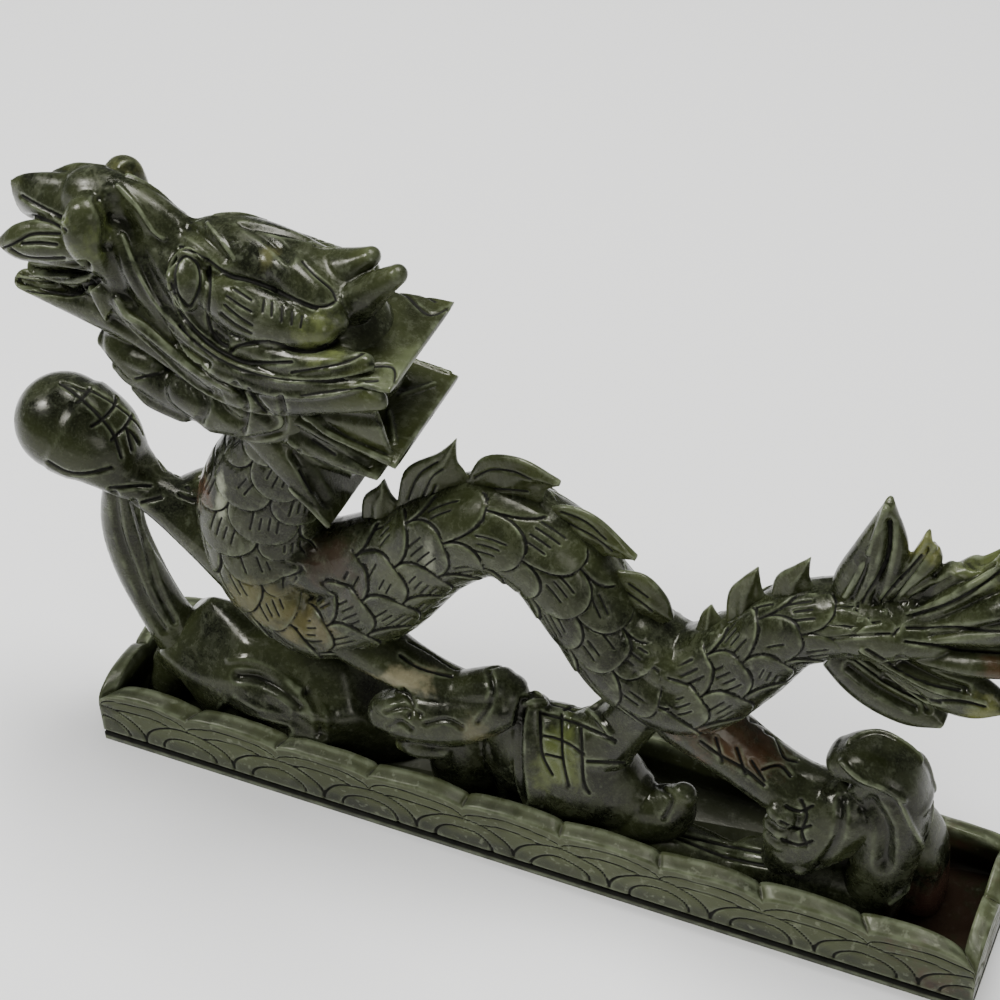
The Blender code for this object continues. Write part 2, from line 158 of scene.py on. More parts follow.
def stain_group():
    """A soft-edged brown, tan or whitish stain round a place in the stone."""
    tree, ins, outs = group("inclusion", (("Place", "Vector", None), ("Centre", "Vector", (0, 0, 0)),
                                          ("Stretch", "Vector", (1, 1, 1)), ("Size", "Float", 0.01),
                                          ("Uneven", "Float", 0.0)), (("Mask", "Float"),))
    away = node(tree, "VectorMath", {0: ins.outputs["Place"], 1: ins.outputs["Centre"]}, operation='SUBTRACT')
    away = node(tree, "VectorMath", {0: away.outputs[0], 1: ins.outputs["Stretch"]}, operation='MULTIPLY')
    far = node(tree, "VectorMath", {0: away.outputs[0]}, operation='LENGTH').outputs["Value"]
    far = maths(tree, 'DIVIDE', far, ins.outputs["Size"])
    far = maths(tree, 'ADD', far, ins.outputs["Uneven"])
    plug(tree, outs, {"Mask": ramp(tree, far, 0.35, 1.15, 1.0, 0.0)})
    return tree


def wear_and_shading_group():
    """Dark cuts with a painted highlight on their lip, pale rounded edges that are partly wear and partly painted
    highlight, and painted shade in hollows and under wide strokes.
    """
    tree, ins, outs = group("cuts_and_edges",
                            (("Base", "Color", (0, 0, 0, 1)), ("WearAndHighlight", "Color", (0.13, 0.15, 0.09, 1)),
                             ("ShadeAndCutDark", "Color", (0.0015, 0.0018, 0.0012, 1)), ("Place", "Vector", None)),
                            (("Colour", "Color"), ("Cut", "Float")))
    cut, rise, shade = (measured(tree, name) for name in ("cut", "rise", "shade"))
    broken = node(tree, "TexNoise", {"Vector": ins.outputs["Place"], "Scale": 260.0, "Detail": 3.0})
    # painted highlight: a pale lip along each cut
    lip_highlight = times(tree, ramp(tree, cut, 0.04, 0.2), ramp(tree, cut, 0.3, 0.42, 1.0, 0.0))
    lip_highlight = times(tree, lip_highlight, ramp(tree, broken.outputs[0], 0.42, 0.68, 0.0, 0.55))
    # pale rounded edges, partly wear and partly painted highlight
    worn_edge_highlight = times(tree, ramp(tree, rise, 0.54, 0.85), ramp(tree, broken.outputs[0], 0.35, 0.65, 0.15, 0.75))
    # painted shade in the hollows, where the surface sinks below its neighbours
    hollow_shade = ramp(tree, rise, 0.16, 0.44, 0.75, 0.0)
    deep = ramp(tree, cut, 0.38, 0.72)
    colour = blend(tree, worn_edge_highlight, ins.outputs["Base"], ins.outputs["WearAndHighlight"])
    colour = blend(tree, lip_highlight, colour, ins.outputs["WearAndHighlight"])
    colour = blend(tree, hollow_shade, colour, ins.outputs["ShadeAndCutDark"])
    colour = blend(tree, deep, colour, ins.outputs["ShadeAndCutDark"])
    # painted shade under the wide strokes
    colour = blend(tree, times(tree, shade, 0.9), colour, ins.outputs["ShadeAndCutDark"])
    plug(tree, outs, {"Colour": colour, "Cut": deep})
    return tree


MOTTLE, STAIN, WEAR_AND_SHADING = mottle_group(), stain_group(), wear_and_shading_group()
GLOW = 0.6
# Stains where they lie in the block: place (mm), stretch, size (mm), colour and strength
INCLUSIONS = (
    ((-78, -11, 93), (2.2, 1, 0.6), 4.5, (0.30, 0.32, 0.23), 0.7),
    ((-86, 4, 90), (1, 0.6, 1), 9, (0.085, 0.04, 0.022), 0.8),
    ((-68, -12, 62), (0.8, 0.8, 1.2), 11, (0.115, 0.105, 0.04), 0.6),
    ((-57, -12, 58), (0.9, 0.8, 1.2), 8, (0.105, 0.09, 0.038), 0.55),
    ((-51, -12, 78), (0.9, 0.8, 1), 9, (0.03, 0.016, 0.01), 0.7),
    ((-28, -12, 84), (0.9, 0.8, 1), 9, (0.055, 0.062, 0.03), 0.6),
    ((-22, -11, 93), (1.6, 1, 0.6), 3.4, (0.2, 0.21, 0.15), 0.6),
    ((-33, -9, 47), (0.45, 0.8, 1.5), 4.6, (0.25, 0.225, 0.135), 0.7),
    ((56, -10, 56), (0.6, 0.8, 1.2), 9, (0.08, 0.036, 0.018), 0.6),
    ((105, 2, 7), (1, 0.7, 1), 16, (0.06, 0.026, 0.019), 0.75),
    ((10, -14, 38), (1, 0.7, 0.6), 7, (0.09, 0.11, 0.03), 0.7),
    ((36, -12, 38), (0.8, 0.8, 1.4), 6, (0.22, 0.23, 0.17), 0.55),
    ((-12, -12, 40), (1, 1, 1), 6, (0.18, 0.165, 0.09), 0.4),
    ((-105, -9, 164), (1, 1, 0.8), 6, (0.10, 0.125, 0.035), 0.7),
    ((-105, 9, 167), (1, 1, 0.8), 7, (0.13, 0.135, 0.05), 0.7),
    ((-60, -5, 165), (1.6, 1, 1), 4, (0.10, 0.10, 0.04), 0.5),
    ((-45, -14, 154), (1, 1, 1), 6, (0.11, 0.13, 0.04), 0.6),
    ((-24, -10, 147), (1, 0.5, 1), 8, (0.085, 0.10, 0.05), 0.6),
    ((92, 1, 126), (1, 1, 0.8), 4.5, (0.15, 0.155, 0.045), 0.7),
    ((110, -6, 88), (0.8, 1, 1), 5, (0.14, 0.15, 0.045), 0.7),
    ((105, 2, 124), (0.7, 1, 1), 6, (0.11, 0.13, 0.045), 0.6),
    ((113, -4, 101), (0.8, 1, 1), 5, (0.07, 0.028, 0.014), 0.6),
)


def at(x, y, z):
    return Vector((x, y, z)) / 1000


def serpentine(name, deep, green, olive, gloss, rub, chips):
    """The stone's finish: deep and green in the thick of it, olive where light comes through."""
    stone = bpy.data.materials.new(name)
    stone.use_nodes = True
    tree = stone.node_tree
    shader = tree.nodes["Principled BSDF"]
    place = node(tree, "TexCoord", {}).outputs["Object"]
    mottle = node(tree, "Group", {"Place": place}, node_tree=MOTTLE)
    clouds, flecks, veins, grain = (mottle.outputs[n] for n in ("Clouds", "Flecks", "Veins", "Grain"))
    base = blend(tree, clouds, deep, green)
    # painted glow of light through thin stone, with a little random olive from the clouds
    light = maths(tree, 'ADD', times(tree, measured(tree, "thin"), GLOW), times(tree, clouds, 0.1))
    base = blend(tree, light, base, olive)
    base = blend(tree, times(tree, flecks, 0.4), base, (0.052, 0.06, 0.03, 1))
    speckle = times(tree, ramp(tree, grain, 0.46, 0.68), 0.3)
    base = blend(tree, speckle, base, (0.05, 0.057, 0.032, 1))
    specks = node(tree, "TexNoise", {"Vector": place, "Scale": 430.0, "Detail": 2.0, "Roughness": 0.6})
    specks = times(tree, ramp(tree, specks.outputs[0], 0.58, 0.72), chips)
    base = blend(tree, specks, base, (0.15, 0.165, 0.11, 1))
    base = blend(tree, times(tree, veins, 0.16), base, (0.13, 0.14, 0.09, 1))
    ragged = node(tree, "TexNoise", {"Vector": place, "Scale": 170.0, "Detail": 4.0, "Roughness": 0.6})
    ragged = times(tree, maths(tree, 'SUBTRACT', ragged.outputs[0], 0.5), 2.4)
    for spot, stretch, size, tint, strength in INCLUSIONS:
        stain = node(tree, "Group", {"Place": place, "Centre": at(*spot), "Stretch": stretch, "Size": size / 1000,
                                     "Uneven": ragged}, node_tree=STAIN)
        base = blend(tree, times(tree, stain.outputs["Mask"], strength), base, (*tint, 1))
    wear_and_shading = node(tree, "Group", {"Base": base, "Place": place}, node_tree=WEAR_AND_SHADING)
    uneven = times(tree, flecks, rub)
    matt = times(tree, wear_and_shading.outputs["Cut"], 0.5)
    rough = maths(tree, 'ADD', maths(tree, 'ADD', uneven, matt), gloss)
    height = maths(tree, 'ADD', times(tree, grain, 0.3), times(tree, flecks, 0.7))
    bump = node(tree, "Bump", {"Strength": 0.35, "Distance": 0.00012, "Height": height})
    plug(tree, shader, {"Base Color": wear_and_shading.outputs["Colour"], "Roughness": rough, "Normal": bump.outputs[0],
                        "IOR": 1.57, "Specular IOR Level": 0.2, "Specular Tint": (1, 0.98, 0.86, 1)})
    return stone


POLISHED = serpentine("polished_serpentine", deep=(0.0036, 0.0044, 0.0022, 1), green=(0.0135, 0.0165, 0.0068, 1),
                      olive=(0.085, 0.1, 0.028, 1), gloss=0.16, rub=0.26, chips=0.18)


def spline(stations, steps):
    """Points on a smooth curve through the stations, whatever numbers a station holds."""
    last = len(stations) - 1
    points = []
    for i in range(steps + 1):
        along = i / steps * last
        k = min(int(along), last - 1)
        t = along - k
        p0, p1 = stations[max(k - 1, 0)], stations[k]
        p2, p3 = stations[k + 1], stations[min(k + 2, last)]
        points.append(tuple(
            0.5 * (2 * b + (c - a) * t + (2 * a - 5 * b + 4 * c - d) * t * t
                   + (3 * b - a - 3 * c + d) * t * t * t)
            for a, b, c, d in zip(p0, p1, p2, p3)))
    return points


def capped(frames, dome):
    """Close a row of ring frames with a domed end at both sides."""
    ends = []
    for ring, way in ((frames[0], -1), (frames[-1], 1)):
        centre, across, through, along = ring
        reach = min(across.length, through.length) * (1 if dome > 1 else 0)
        cap = []
        for k in range(dome):
            turn = math.pi / 2 * k / dome
            middle = centre + along * way * reach * math.cos(turn)
            cap.append((middle, across * math.sin(turn), through * math.sin(turn), along))
        ends.append(cap)
    return ends[0] + frames + ends[1][::-1]


def rod_frames(stations, steps, dome):
    """Ring frames along stations of (x, y, z, half height in the side view, half depth) in mm."""
    points = spline(stations, steps)
    frames = []
    for i, (x, y, z, high, deep) in enumerate(points):
        ahead = at(*points[min(i + 1, steps)][:3]) - at(*points[max(i - 1, 0)][:3])
        along = ahead.normalized()
        through = (Vector((0, 1, 0)) - along * along.y).normalized()
        across = along.cross(through)
        frames.append((at(x, y, z), across * max(high, 0.05) / 1000, through * max(deep, 0.05) / 1000, along))
    return capped(frames, dome)


def wrap(block, frames, sides, square=1.0, flutes=0, flute_depth=0.0):
    """Wrap a grid round ring frames and add it to a block."""
    form = bmesh.new()
    rows = len(frames) - 1
    bmesh.ops.create_grid(form, x_segments=rows, y_segments=sides, size=1)
    for vertex in form.verts:
        centre, across, through, _ = frames[round((vertex.co.x + 1) / 2 * rows)]
        turn = math.pi * (vertex.co.y + 1)
        c, s = math.cos(turn), math.sin(turn)
        wide = math.copysign(abs(c) ** square, c)
        deep = math.copysign(abs(s) ** square, s)
        if flutes:
            deep *= 1 - flute_depth * (0.5 - 0.5 * math.cos(math.pi * flutes * (wide + 1)))
        vertex.co = centre + across * wide + through * deep
    bmesh.ops.remove_doubles(form, verts=form.verts, dist=1e-6)
    bmesh.ops.dissolve_degenerate(form, edges=form.edges, dist=1e-6)
    bmesh.ops.recalc_face_normals(form, faces=form.faces)
    passing = bpy.data.meshes.new("form")
    form.to_mesh(passing)
    form.free()
    block.from_mesh(passing)
    bpy.data.meshes.remove(passing)


def rod(block, *stations, sides=24, square=1.0, dome=5):
    wrap(block, rod_frames(stations, 10 * (len(stations) - 1), dome), sides, square)


def as_modified(thing):
    """A new mesh of what an object's modifiers make."""
    return bpy.data.meshes.new_from_object(thing.evaluated_get(bpy.context.evaluated_depsgraph_get()))


def joined(name, block, grain, rubs):
    """Join a block's forms into one skin of that grain, in mm, and rub it smooth."""
    mesh = bpy.data.meshes.new(name)
    block.to_mesh(mesh)
    block.free()
    rough = stand(name, mesh)
    join = rough.modifiers.new("join", 'REMESH')
    join.mode = 'VOXEL'
    join.voxel_size = grain / 1000
    if rubs:
        rub = rough.modifiers.new("rub", 'SMOOTH')
        rub.factor = 0.5
        rub.iterations = rubs
    skin = as_modified(rough)
    bpy.data.objects.remove(rough)
    bpy.data.meshes.remove(mesh)
    return skin


def surface(mesh):
    """The points of a mesh, in metres, and the way each faces."""
    points, normals = np.empty((2, len(mesh.vertices) * 3))
    mesh.vertices.foreach_get("co", points)
    mesh.vertex_normals.foreach_get("vector", normals)
    return points.reshape(-1, 3), normals.reshape(-1, 3)


def neighbour_mean(count, ends, values, rounds):
    """Average values over each point's neighbours, a few times."""
    one, other = ends.T
    degree = np.bincount(ends.ravel(), minlength=count)
    for _ in range(rounds):
        spread = np.bincount(one, values[other], count) + np.bincount(other, values[one], count)
        values = 0.5 * values + 0.5 * spread / np.maximum(degree, 1)
    return values


EDGE_ROUNDS, EDGE_GAIN = 6, 2.4
SKIN = 0.0002


def finish(name, mesh, cut, stone, keep=1.0, thick=9.0, glow=1.0):
    """Measure edges, hollows and thin places for the stone's colour: pale edges partly painted highlight,
    painted shade in hollows, painted glow of light through thin stone. Put the piece in the scene. Keep is
    the share of facets that stays, thick the depth in mm that lets no light through."""
    count = len(mesh.vertices)
    points, normals = surface(mesh)
    ends = np.empty(len(mesh.edges) * 2, dtype=np.int32)
    mesh.edges.foreach_get("vertices", ends)
    ends = ends.reshape(-1, 2)
    soft = np.stack([neighbour_mean(count, ends, points[:, k].copy(), EDGE_ROUNDS) for k in range(3)], 1)
    rise = ((points - soft) * normals).sum(1) * 1000
    rise = neighbour_mean(count, ends, np.clip(0.5 + rise * EDGE_GAIN, 0, 1), 1)
    flat = [tuple(p) for p in points]
    corners = [tuple(f.vertices) for f in mesh.polygons]
    tree = BVHTree.FromPolygons(flat, corners)
    thin = np.zeros(count)
    limit = thick / 1000
    for k in range(0, count, 2):
        inward = -Vector(normals[k])
        hit = tree.ray_cast(Vector(flat[k]) + inward * SKIN, inward, limit)[3]
        thin[k] = 1 - (hit if hit is not None else limit) / limit
    sampled = np.zeros(count)
    sampled[::2] = 1
    weight = neighbour_mean(count, ends, sampled, EDGE_ROUNDS)
    thin = neighbour_mean(count, ends, thin, EDGE_ROUNDS) / np.maximum(weight, 1e-6)
    for label, values in (("cut", cut), ("rise", rise), ("thin", thin * glow)):
        layer = mesh.attributes.new(label, 'FLOAT', 'POINT')
        layer.data.foreach_set("value", values.astype(np.float32))
    piece = stand(name, mesh)
    if keep < 1:
        fewer = piece.modifiers.new("fewer_facets", 'DECIMATE')
        fewer.ratio = keep
        slim = as_modified(piece)
        piece.modifiers.remove(fewer)
        piece.data = slim
        bpy.data.meshes.remove(mesh)
    piece.data.name = name
    piece.data.polygons.foreach_set("use_smooth", [True] * len(piece.data.polygons))
    piece.data.materials.clear()
    piece.data.materials.append(stone)
    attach(piece, "root")
    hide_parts("dragon_carving")


def bowl(mask):
    """Round the bottom of a cut whose mask falls off straight."""
    return mask * mask * (3 - 2 * mask)


BODY = (
    (-60, 0, 124, 11, 11), (-64, 0, 108, 12.5, 11.5), (-71, 0, 92, 16, 12.5), (-75, 0, 76, 16.5, 13),
    (-71, 0, 60, 14.5, 13), (-58, 0, 52, 11.5, 13), (-42, 0, 65, 12.5, 12.5), (-27, 0, 86, 13, 12),
    (-11, 0, 98, 13, 12), (3.5, 0, 94.5, 13, 12), (14, 0, 81.5, 12.8, 12), (25, 0, 66.5, 12, 12.5),
    (40.5, 0, 62, 11, 12.5), (53, 0, 76, 10.5, 11.5), (63, 0, 91, 10, 10), (76, 0, 99, 9, 9),
    (88, 0, 103, 7, 8),
)
BODY_WEBS = (
    ((-66, 0, 72, 10, 10), (-53, 0, 72, 11, 10), (-37, 0, 84, 9, 9)),
    ((26, 0, 76, 8, 10), (38, 0, 71, 8, 10), (50, 0, 80, 8, 9)),
)
SCALE_LENGTH = 17.0
SCALES_ROUND = 5
SCALE_POINT = 2.2
CUT_WIDTH, CUT_DEPTH = 0.58, 0.5
HATCH_WIDTH, HATCH_DEPTH = 0.55, 0.4
HATCH_MISSED = 0.22
SHINGLE = 0.9
BELLY_FROM, SPINE_TO, PLATE_PITCH = 2.45, 0.30, 5.5

block = bmesh.new()
wrap(block, rod_frames(BODY, 260, 6), 48)
for web in BODY_WEBS:
    rod(block, *web)
hide = joined("dragon_body", block, 0.38, 6)
points, normals = surface(hide)
line = np.array(spline(BODY, 680))
steps_along = np.hypot(np.diff(line[:, 0]), np.diff(line[:, 2]))
length_to = np.concatenate(([0], np.cumsum(steps_along)))
ahead = np.gradient(line[:, [0, 2]], axis=0)
ahead /= np.hypot(ahead[:, 0], ahead[:, 1])[:, None]
nearest = np.empty(len(points), dtype=int)
for start in range(0, len(points), 20000):
    part = points[start:start + 20000] * 1000
    gap = (part[:, 0:1] - line[:, 0]) ** 2 + (part[:, 2:3] - line[:, 2]) ** 2
    nearest[start:start + 20000] = gap.argmin(1)
off_x = points[:, 0] * 1000 - line[nearest, 0]
off_z = points[:, 2] * 1000 - line[nearest, 2]
along = length_to[nearest] + off_x * ahead[nearest, 0] + off_z * ahead[nearest, 1]
outer = off_z * ahead[nearest, 0] - off_x * ahead[nearest, 1]
turn = np.arctan2(points[:, 1] * 1000 / line[nearest, 4], outer / line[nearest, 3])
row_height = SCALE_LENGTH / 2
row = np.floor(along / row_height)
in_row = along - row * row_height
round_at = turn / (2 * np.pi) * SCALES_ROUND
shift = 0.5 * np.mod(row, 2)
column = np.round(round_at - shift) + shift
aside = round_at - column
edge = (np.abs(in_row / row_height) ** SCALE_POINT + np.abs(aside / 0.5) ** SCALE_POINT) ** (1 / SCALE_POINT)
inside = edge < 1
next_shift = 0.5 * np.mod(row + 1, 2)
next_column = np.round(round_at - next_shift) + next_shift
scale_row = np.where(inside, row, row + 1)
scale_column = np.where(inside, column, next_column)
forward = np.where(inside, 0.5, 0.0) + 0.5 * in_row / row_height
pitch = 2 * np.pi * np.sqrt(line[nearest, 3] * line[nearest, 4]) / SCALES_ROUND
sideways = (round_at - scale_column) * pitch


def chance(*seeds):
    """A steady number from 0 to 1 for each scale."""
    mixed = sum(s * k for s, k in zip(seeds, (12.9898, 78.233, 37.719)))
    return np.mod(np.sin(mixed) * 43758.5453, 1.0)


cut = np.clip(1 - np.abs(edge - 1) * row_height / CUT_WIDTH, 0, 1)
hatch = np.zeros(len(points))
mid = (forward - 0.5) * SCALE_LENGTH
for k in (-1.5, -0.5, 0.5, 1.5):
    on = (chance(scale_row, scale_column, k + 3) > HATCH_MISSED).astype(float)
    start = -2.6 + 2.4 * chance(scale_row, scale_column, k)
    end = 2.2 + 2.2 * chance(scale_column, scale_row, k + 1)
    lean = (chance(scale_row, scale_column, 9.0) - 0.5) * 0.5
    spot = 2.0 * k + 1.2 * (chance(scale_column, scale_row, 5.0) - 0.5) + lean * mid
    past = np.maximum(np.maximum(start - mid, mid - end), 0)
    gap = np.hypot(sideways - spot, past * 0.8)
    hatch = np.maximum(hatch, on * np.clip(1 - gap / HATCH_WIDTH, 0, 1))
belly = np.clip((np.abs(turn) - BELLY_FROM) / 0.12, 0, 1)
spine = np.clip((SPINE_TO - np.abs(turn)) / 0.08, 0, 1)
plate = np.clip(1 - np.abs(np.mod(along, PLATE_PITCH) - PLATE_PITCH / 2) / 0.7, 0, 1)
bend = np.clip((np.hypot(off_x, off_z) / line[nearest, 3] - 1.04) / 0.12, 0, 1)
turning = ahead[:, 1] * np.gradient(ahead[:, 0]) - ahead[:, 0] * np.gradient(ahead[:, 1])
turning /= np.gradient(length_to)
fold = np.clip((turning[nearest] * -outer - 0.36) / 0.16, 0, 1)
plain = (1 - belly) * (1 - spine) * (1 - bend) * (1 - fold)
cut = cut * plain + plate * belly * 0.9
hatch = hatch * plain
depth = bowl(cut) * CUT_DEPTH + bowl(hatch) * HATCH_DEPTH
lift = SHINGLE * (forward - 0.5) * plain
points += normals * ((lift - depth) / 1000)[:, None]
hide.vertices.foreach_set("co", points.ravel())
hide.update()
finish("dragon_body", hide, np.maximum(cut, hatch), POLISHED, keep=0.4)

# The fins: a row of flames left standing along the back, each with a few cuts along it. The
# carver draws a cut as a line on the viewer's sheet, and it is pressed into what faces the
# viewer there; the far side gets it mirrored.
WIDEST_CUT = 6


def blade_frames(upper, lower, depths, thicks, steps):
    """Ring frames of a leaf between two edges of (x, z) points, from its root to its tip."""
    one, other = spline(upper, steps), spline(lower, steps)
    depth, thick = (spline([(v,) for v in values], steps) for values in (depths, thicks))
    frames = []
    for (x0, z0), (x1, z1), (y,), (half,) in zip(one, other, depth, thick):
        a, b = at(x0, y, z0), at(x1, y, z1)
        through = Vector((0, half / 1000, 0)) if (a - b).length > 0.0001 else Vector()
        frames.append(((a + b) / 2, (a - b) / 2, through, (a + b).normalized()))
    return capped(frames, 1)


def blade(block, upper, lower, depths, thicks, square=1.1, **look):
    wrap(block, blade_frames(upper, lower, depths, thicks, 24), 32, square, **look)


def sight(points):
    """Where points in metres are seen on the viewer's sheet."""
    away = points - np.array(EYE)
    deep = away @ np.array(AHEAD)
    return np.stack((SHEET / 2 + REACH * (away @ np.array(RIGHT)) / deep,
                     SHEET / 2 - REACH * (away @ np.array(UP)) / deep), 1)


def from_line(seen, line, width):
    """How near points are to a line: 1 on it, 0 at its width and further."""
    near = np.zeros(len(seen))
    bends = np.array(spline(line, 4 * (len(line) - 1)) if len(line) > 2 else line, float)
    low, high = bends.min(0) - width, bends.max(0) + width
    inside = np.nonzero(((seen > low) & (seen < high)).all(1))[0]
    if len(inside) == 0:
        return near
    place = seen[inside]
    best = np.full(len(inside), 1e9)
    for a, b in zip(bends[:-1], bends[1:]):
        ab = b - a
        t = np.clip(((place - a) @ ab) / max(ab @ ab, 1e-9), 0, 1)
        gap = place - a - t[:, None] * ab
        best = np.minimum(best, (gap * gap).sum(1))
    near[inside] = np.clip(1 - np.sqrt(best) / width, 0, 1)
    return near


def marked(mesh, strokes, middle=0.0):
    """Press strokes of (width, depth in mm, how dark, line, line...) in. Gives the mask of the
    cuts, which are painted dark, and keeps the darkness of the strokes that are wider than a cut as the mesh's
    painted shade."""
    cut, shade = np.zeros((2, len(mesh.vertices)))
    middle /= 1000
    for width, depth, darkness, *lines in strokes:
        points, normals = surface(mesh)
        side = np.where(points[:, 1] > middle + 0.0004, -1.0, 1.0)
        flipped = points.copy()
        flipped[:, 1] = middle + (points[:, 1] - middle) * side
        turned = normals.copy()
        turned[:, 1] *= side
        seen = sight(flipped)
        to_eye = np.array(EYE) - flipped
        facing = (turned * to_eye).sum(1) / np.sqrt((to_eye * to_eye).sum(1))
        facing = np.clip((facing - 0.05) / 0.25, 0, 1)
        press = np.zeros(len(points))
        for line in lines:
            press = np.maximum(press, from_line(seen, line, width) * facing)
        moved = points - normals * (bowl(press) * depth / 1000)[:, None]
        mesh.vertices.foreach_set("co", moved.ravel())
        mesh.update()
        # strokes wider than a cut are hollows whose darkness is painted shade
        if width > WIDEST_CUT:
            shade = np.maximum(shade, press * darkness)
        else:
            cut = np.maximum(cut, press * darkness)
    mesh.attributes.new("shade", 'FLOAT', 'POINT').data.foreach_set("value", shade.astype(np.float32))
    return cut


FINS = (
    (((-46, 85), (-45, 95), (-41, 100), (-39, 103)), ((-34, 92), (-35, 96), (-37, 98), (-39, 103))),
    (((-36, 95), (-33, 108), (-24, 116), (-19, 122)), ((-15, 105), (-17, 112), (-19, 115), (-19, 122))),
    (((-18, 106), (-13, 118), (-3, 121), (7, 117)), ((2, 106), (3, 112), (4, 114), (7, 116))),
    (((-1, 104), (7, 110), (16, 109), (26, 100)), ((16, 95), (19, 98), (22, 98), (25.5, 99))),
    (((17, 93), (27, 95), (33, 90), (35, 84)), ((29, 78), (32, 80), (33, 81), (35, 83))),
    (((39, 74), (41, 84), (42, 88), (44, 91)), ((48, 82), (47, 86), (46, 88), (44, 91))),
    (((48, 84), (48, 96), (51, 102), (55, 107)), ((58, 93), (57, 98), (56, 101), (55, 107))),
    (((58, 95), (59, 105), (63, 110), (67, 114)), ((69, 103), (68, 106), (67, 108), (67, 114))),
)
block = bmesh.new()
for front, back in FINS:
    blade(block, front, back, (0, 0), (2.8, 2.2, 1.3), flutes=2, flute_depth=0.3)
flames = joined("back_fins", block, 0.42, 3)
cut = marked(flames, (
    (2.2, 0.45, 1, ((417, 510), (430, 480), (443, 470)), ((424, 512), (436, 486)),
     ((408, 500), (418, 475), (437, 462)), ((474, 478), (492, 470), (514, 472), (530, 480)),
     ((480, 488), (505, 490), (528, 492)), ((556, 518), (590, 535), (612, 552)),
     ((560, 512), (585, 522), (606, 540)), ((622, 590), (640, 602), (652, 612)), ((628, 584), (648, 598))),
))
finish("back_fins", flames, cut, POLISHED, keep=0.7, glow=0.5)

# The tail: a fan of fluted flames that grows out of the body's end, of the same stone, with a
# painted glow of light through its thin tips. Each flame is hollowed along its length, and dark
# cuts part it from the next.
TAIL_LOBES = (
    (((72.5, 101), (72.5, 111), (77, 123), (82.2, 135.6)), ((84, 100), (88, 114), (88.4, 125), (84.4, 135.4)),
     0, 4.5),
    (((83, 101), (87.5, 111), (92.5, 119.5)), ((88, 99), (96, 107), (101, 116)), 0, 4),
    (((80, 100), (85, 112), (89, 122), (91.7, 129.5)), ((85, 101), (91, 114), (96, 122), (92.5, 129)), 1, 3.5),
    (((87, 103), (92, 114), (97, 121.5), (103, 123), (110, 131)),
     ((89, 99), (99, 107), (107, 116), (113, 124), (111, 131)), 2, 5),
    (((88, 103), (100, 112), (111, 120.8), (125, 125)), ((90, 98), (100, 103), (113, 107), (127, 119)), -3, 6),
    (((88, 99), (101, 102), (113, 105), (126, 105)), ((90, 96), (101, 96), (113, 98), (126, 104)), -4, 5.5),
    (((81, 97), (91, 99.5), (101, 98), (111, 94.5), (116, 91)),
     ((84, 92), (91, 86), (99, 83), (108, 83.5), (115.5, 89)), -5, 5),
    (((76, 94), (84, 89.3), (91, 85.5), (98, 82), (102, 78)),
     ((72, 84.5), (77, 79), (84, 75), (93, 73), (101, 75.5)), -2, 5),
)
block = bmesh.new()
rod(block, (74, 0, 98, 9, 9), (86, 0, 101, 9, 9.5), (96, 0, 102.5, 6, 8))
for upper, lower, y, thick in TAIL_LOBES:
    blade(block, upper, lower, (y * 0.3, y), (thick, thick, thick * 0.5), square=1.0)
fan = joined("tail_fan", block, 0.42, 3)
cut = marked(fan, (
    # hollows between the ridges of each flame, with painted shade in them, then the dark cuts that part the flames
    (9, 1.5, 0.35, ((874, 600), (886, 560), (890, 525)), ((890, 606), (912, 575), (930, 552)),
     ((915, 604), (950, 586), (990, 566)), ((930, 635), (965, 632), (1000, 626)),
     ((900, 662), (935, 680), (965, 690)), ((850, 668), (880, 690), (915, 708))),
    (6, 0.9, 0, ((852, 598), (862, 575), (866, 558)), ((905, 602), (925, 592), (950, 578)),
     ((884, 676), (915, 694), (928, 710))),
    (5, -0.6, 0, ((845, 596), (866, 560), (886, 508)), ((885, 612), (905, 590), (934, 548)),
     ((908, 614), (950, 598), (1000, 566)), ((862, 650), (900, 672), (935, 690), (985, 702))),
    (2.8, 0.8, 1, ((862, 603), (880, 575), (889, 550), (890, 522)), ((880, 604), (900, 580), (922, 556)),
     ((905, 618), (945, 606), (975, 590), (1005, 568)), ((907, 628), (950, 628), (1005, 632)),
     ((905, 642), (950, 648), (1005, 652)), ((866, 650), (900, 670), (925, 682), (960, 690)),
     ((848, 656), (880, 678), (910, 694), (940, 704)), ((930, 702), (960, 702), (985, 708))),
    (2.4, 0.7, 1, ((831, 594), (838, 604), (852, 606)), ((841, 612), (850, 628), (858, 604)),
     ((852, 634), (862, 626), (868, 618)), ((820, 628), (850, 626), (880, 622)),
     ((892, 604), (900, 622), (893, 636)), ((822, 640), (855, 636), (890, 634))),
))
finish("tail_fan", fan, cut, POLISHED, keep=0.66, glow=0.55)

# The head: a broad muzzle with a ridged nose and two nostril bulbs, leaf-shaped lips, an open
# jaw, one brow, eyes, cheek lobes, ears and horns. The soft masses are rubbed down first, then
# the crisp forms are set on them and the creases are cut.
def both_sides(block, *stations):
    """The same rod on the near side and mirrored on the far side."""
    for sign in (1, -1):
        rod(block, *((x, y * sign, *rest) for x, y, *rest in stations))


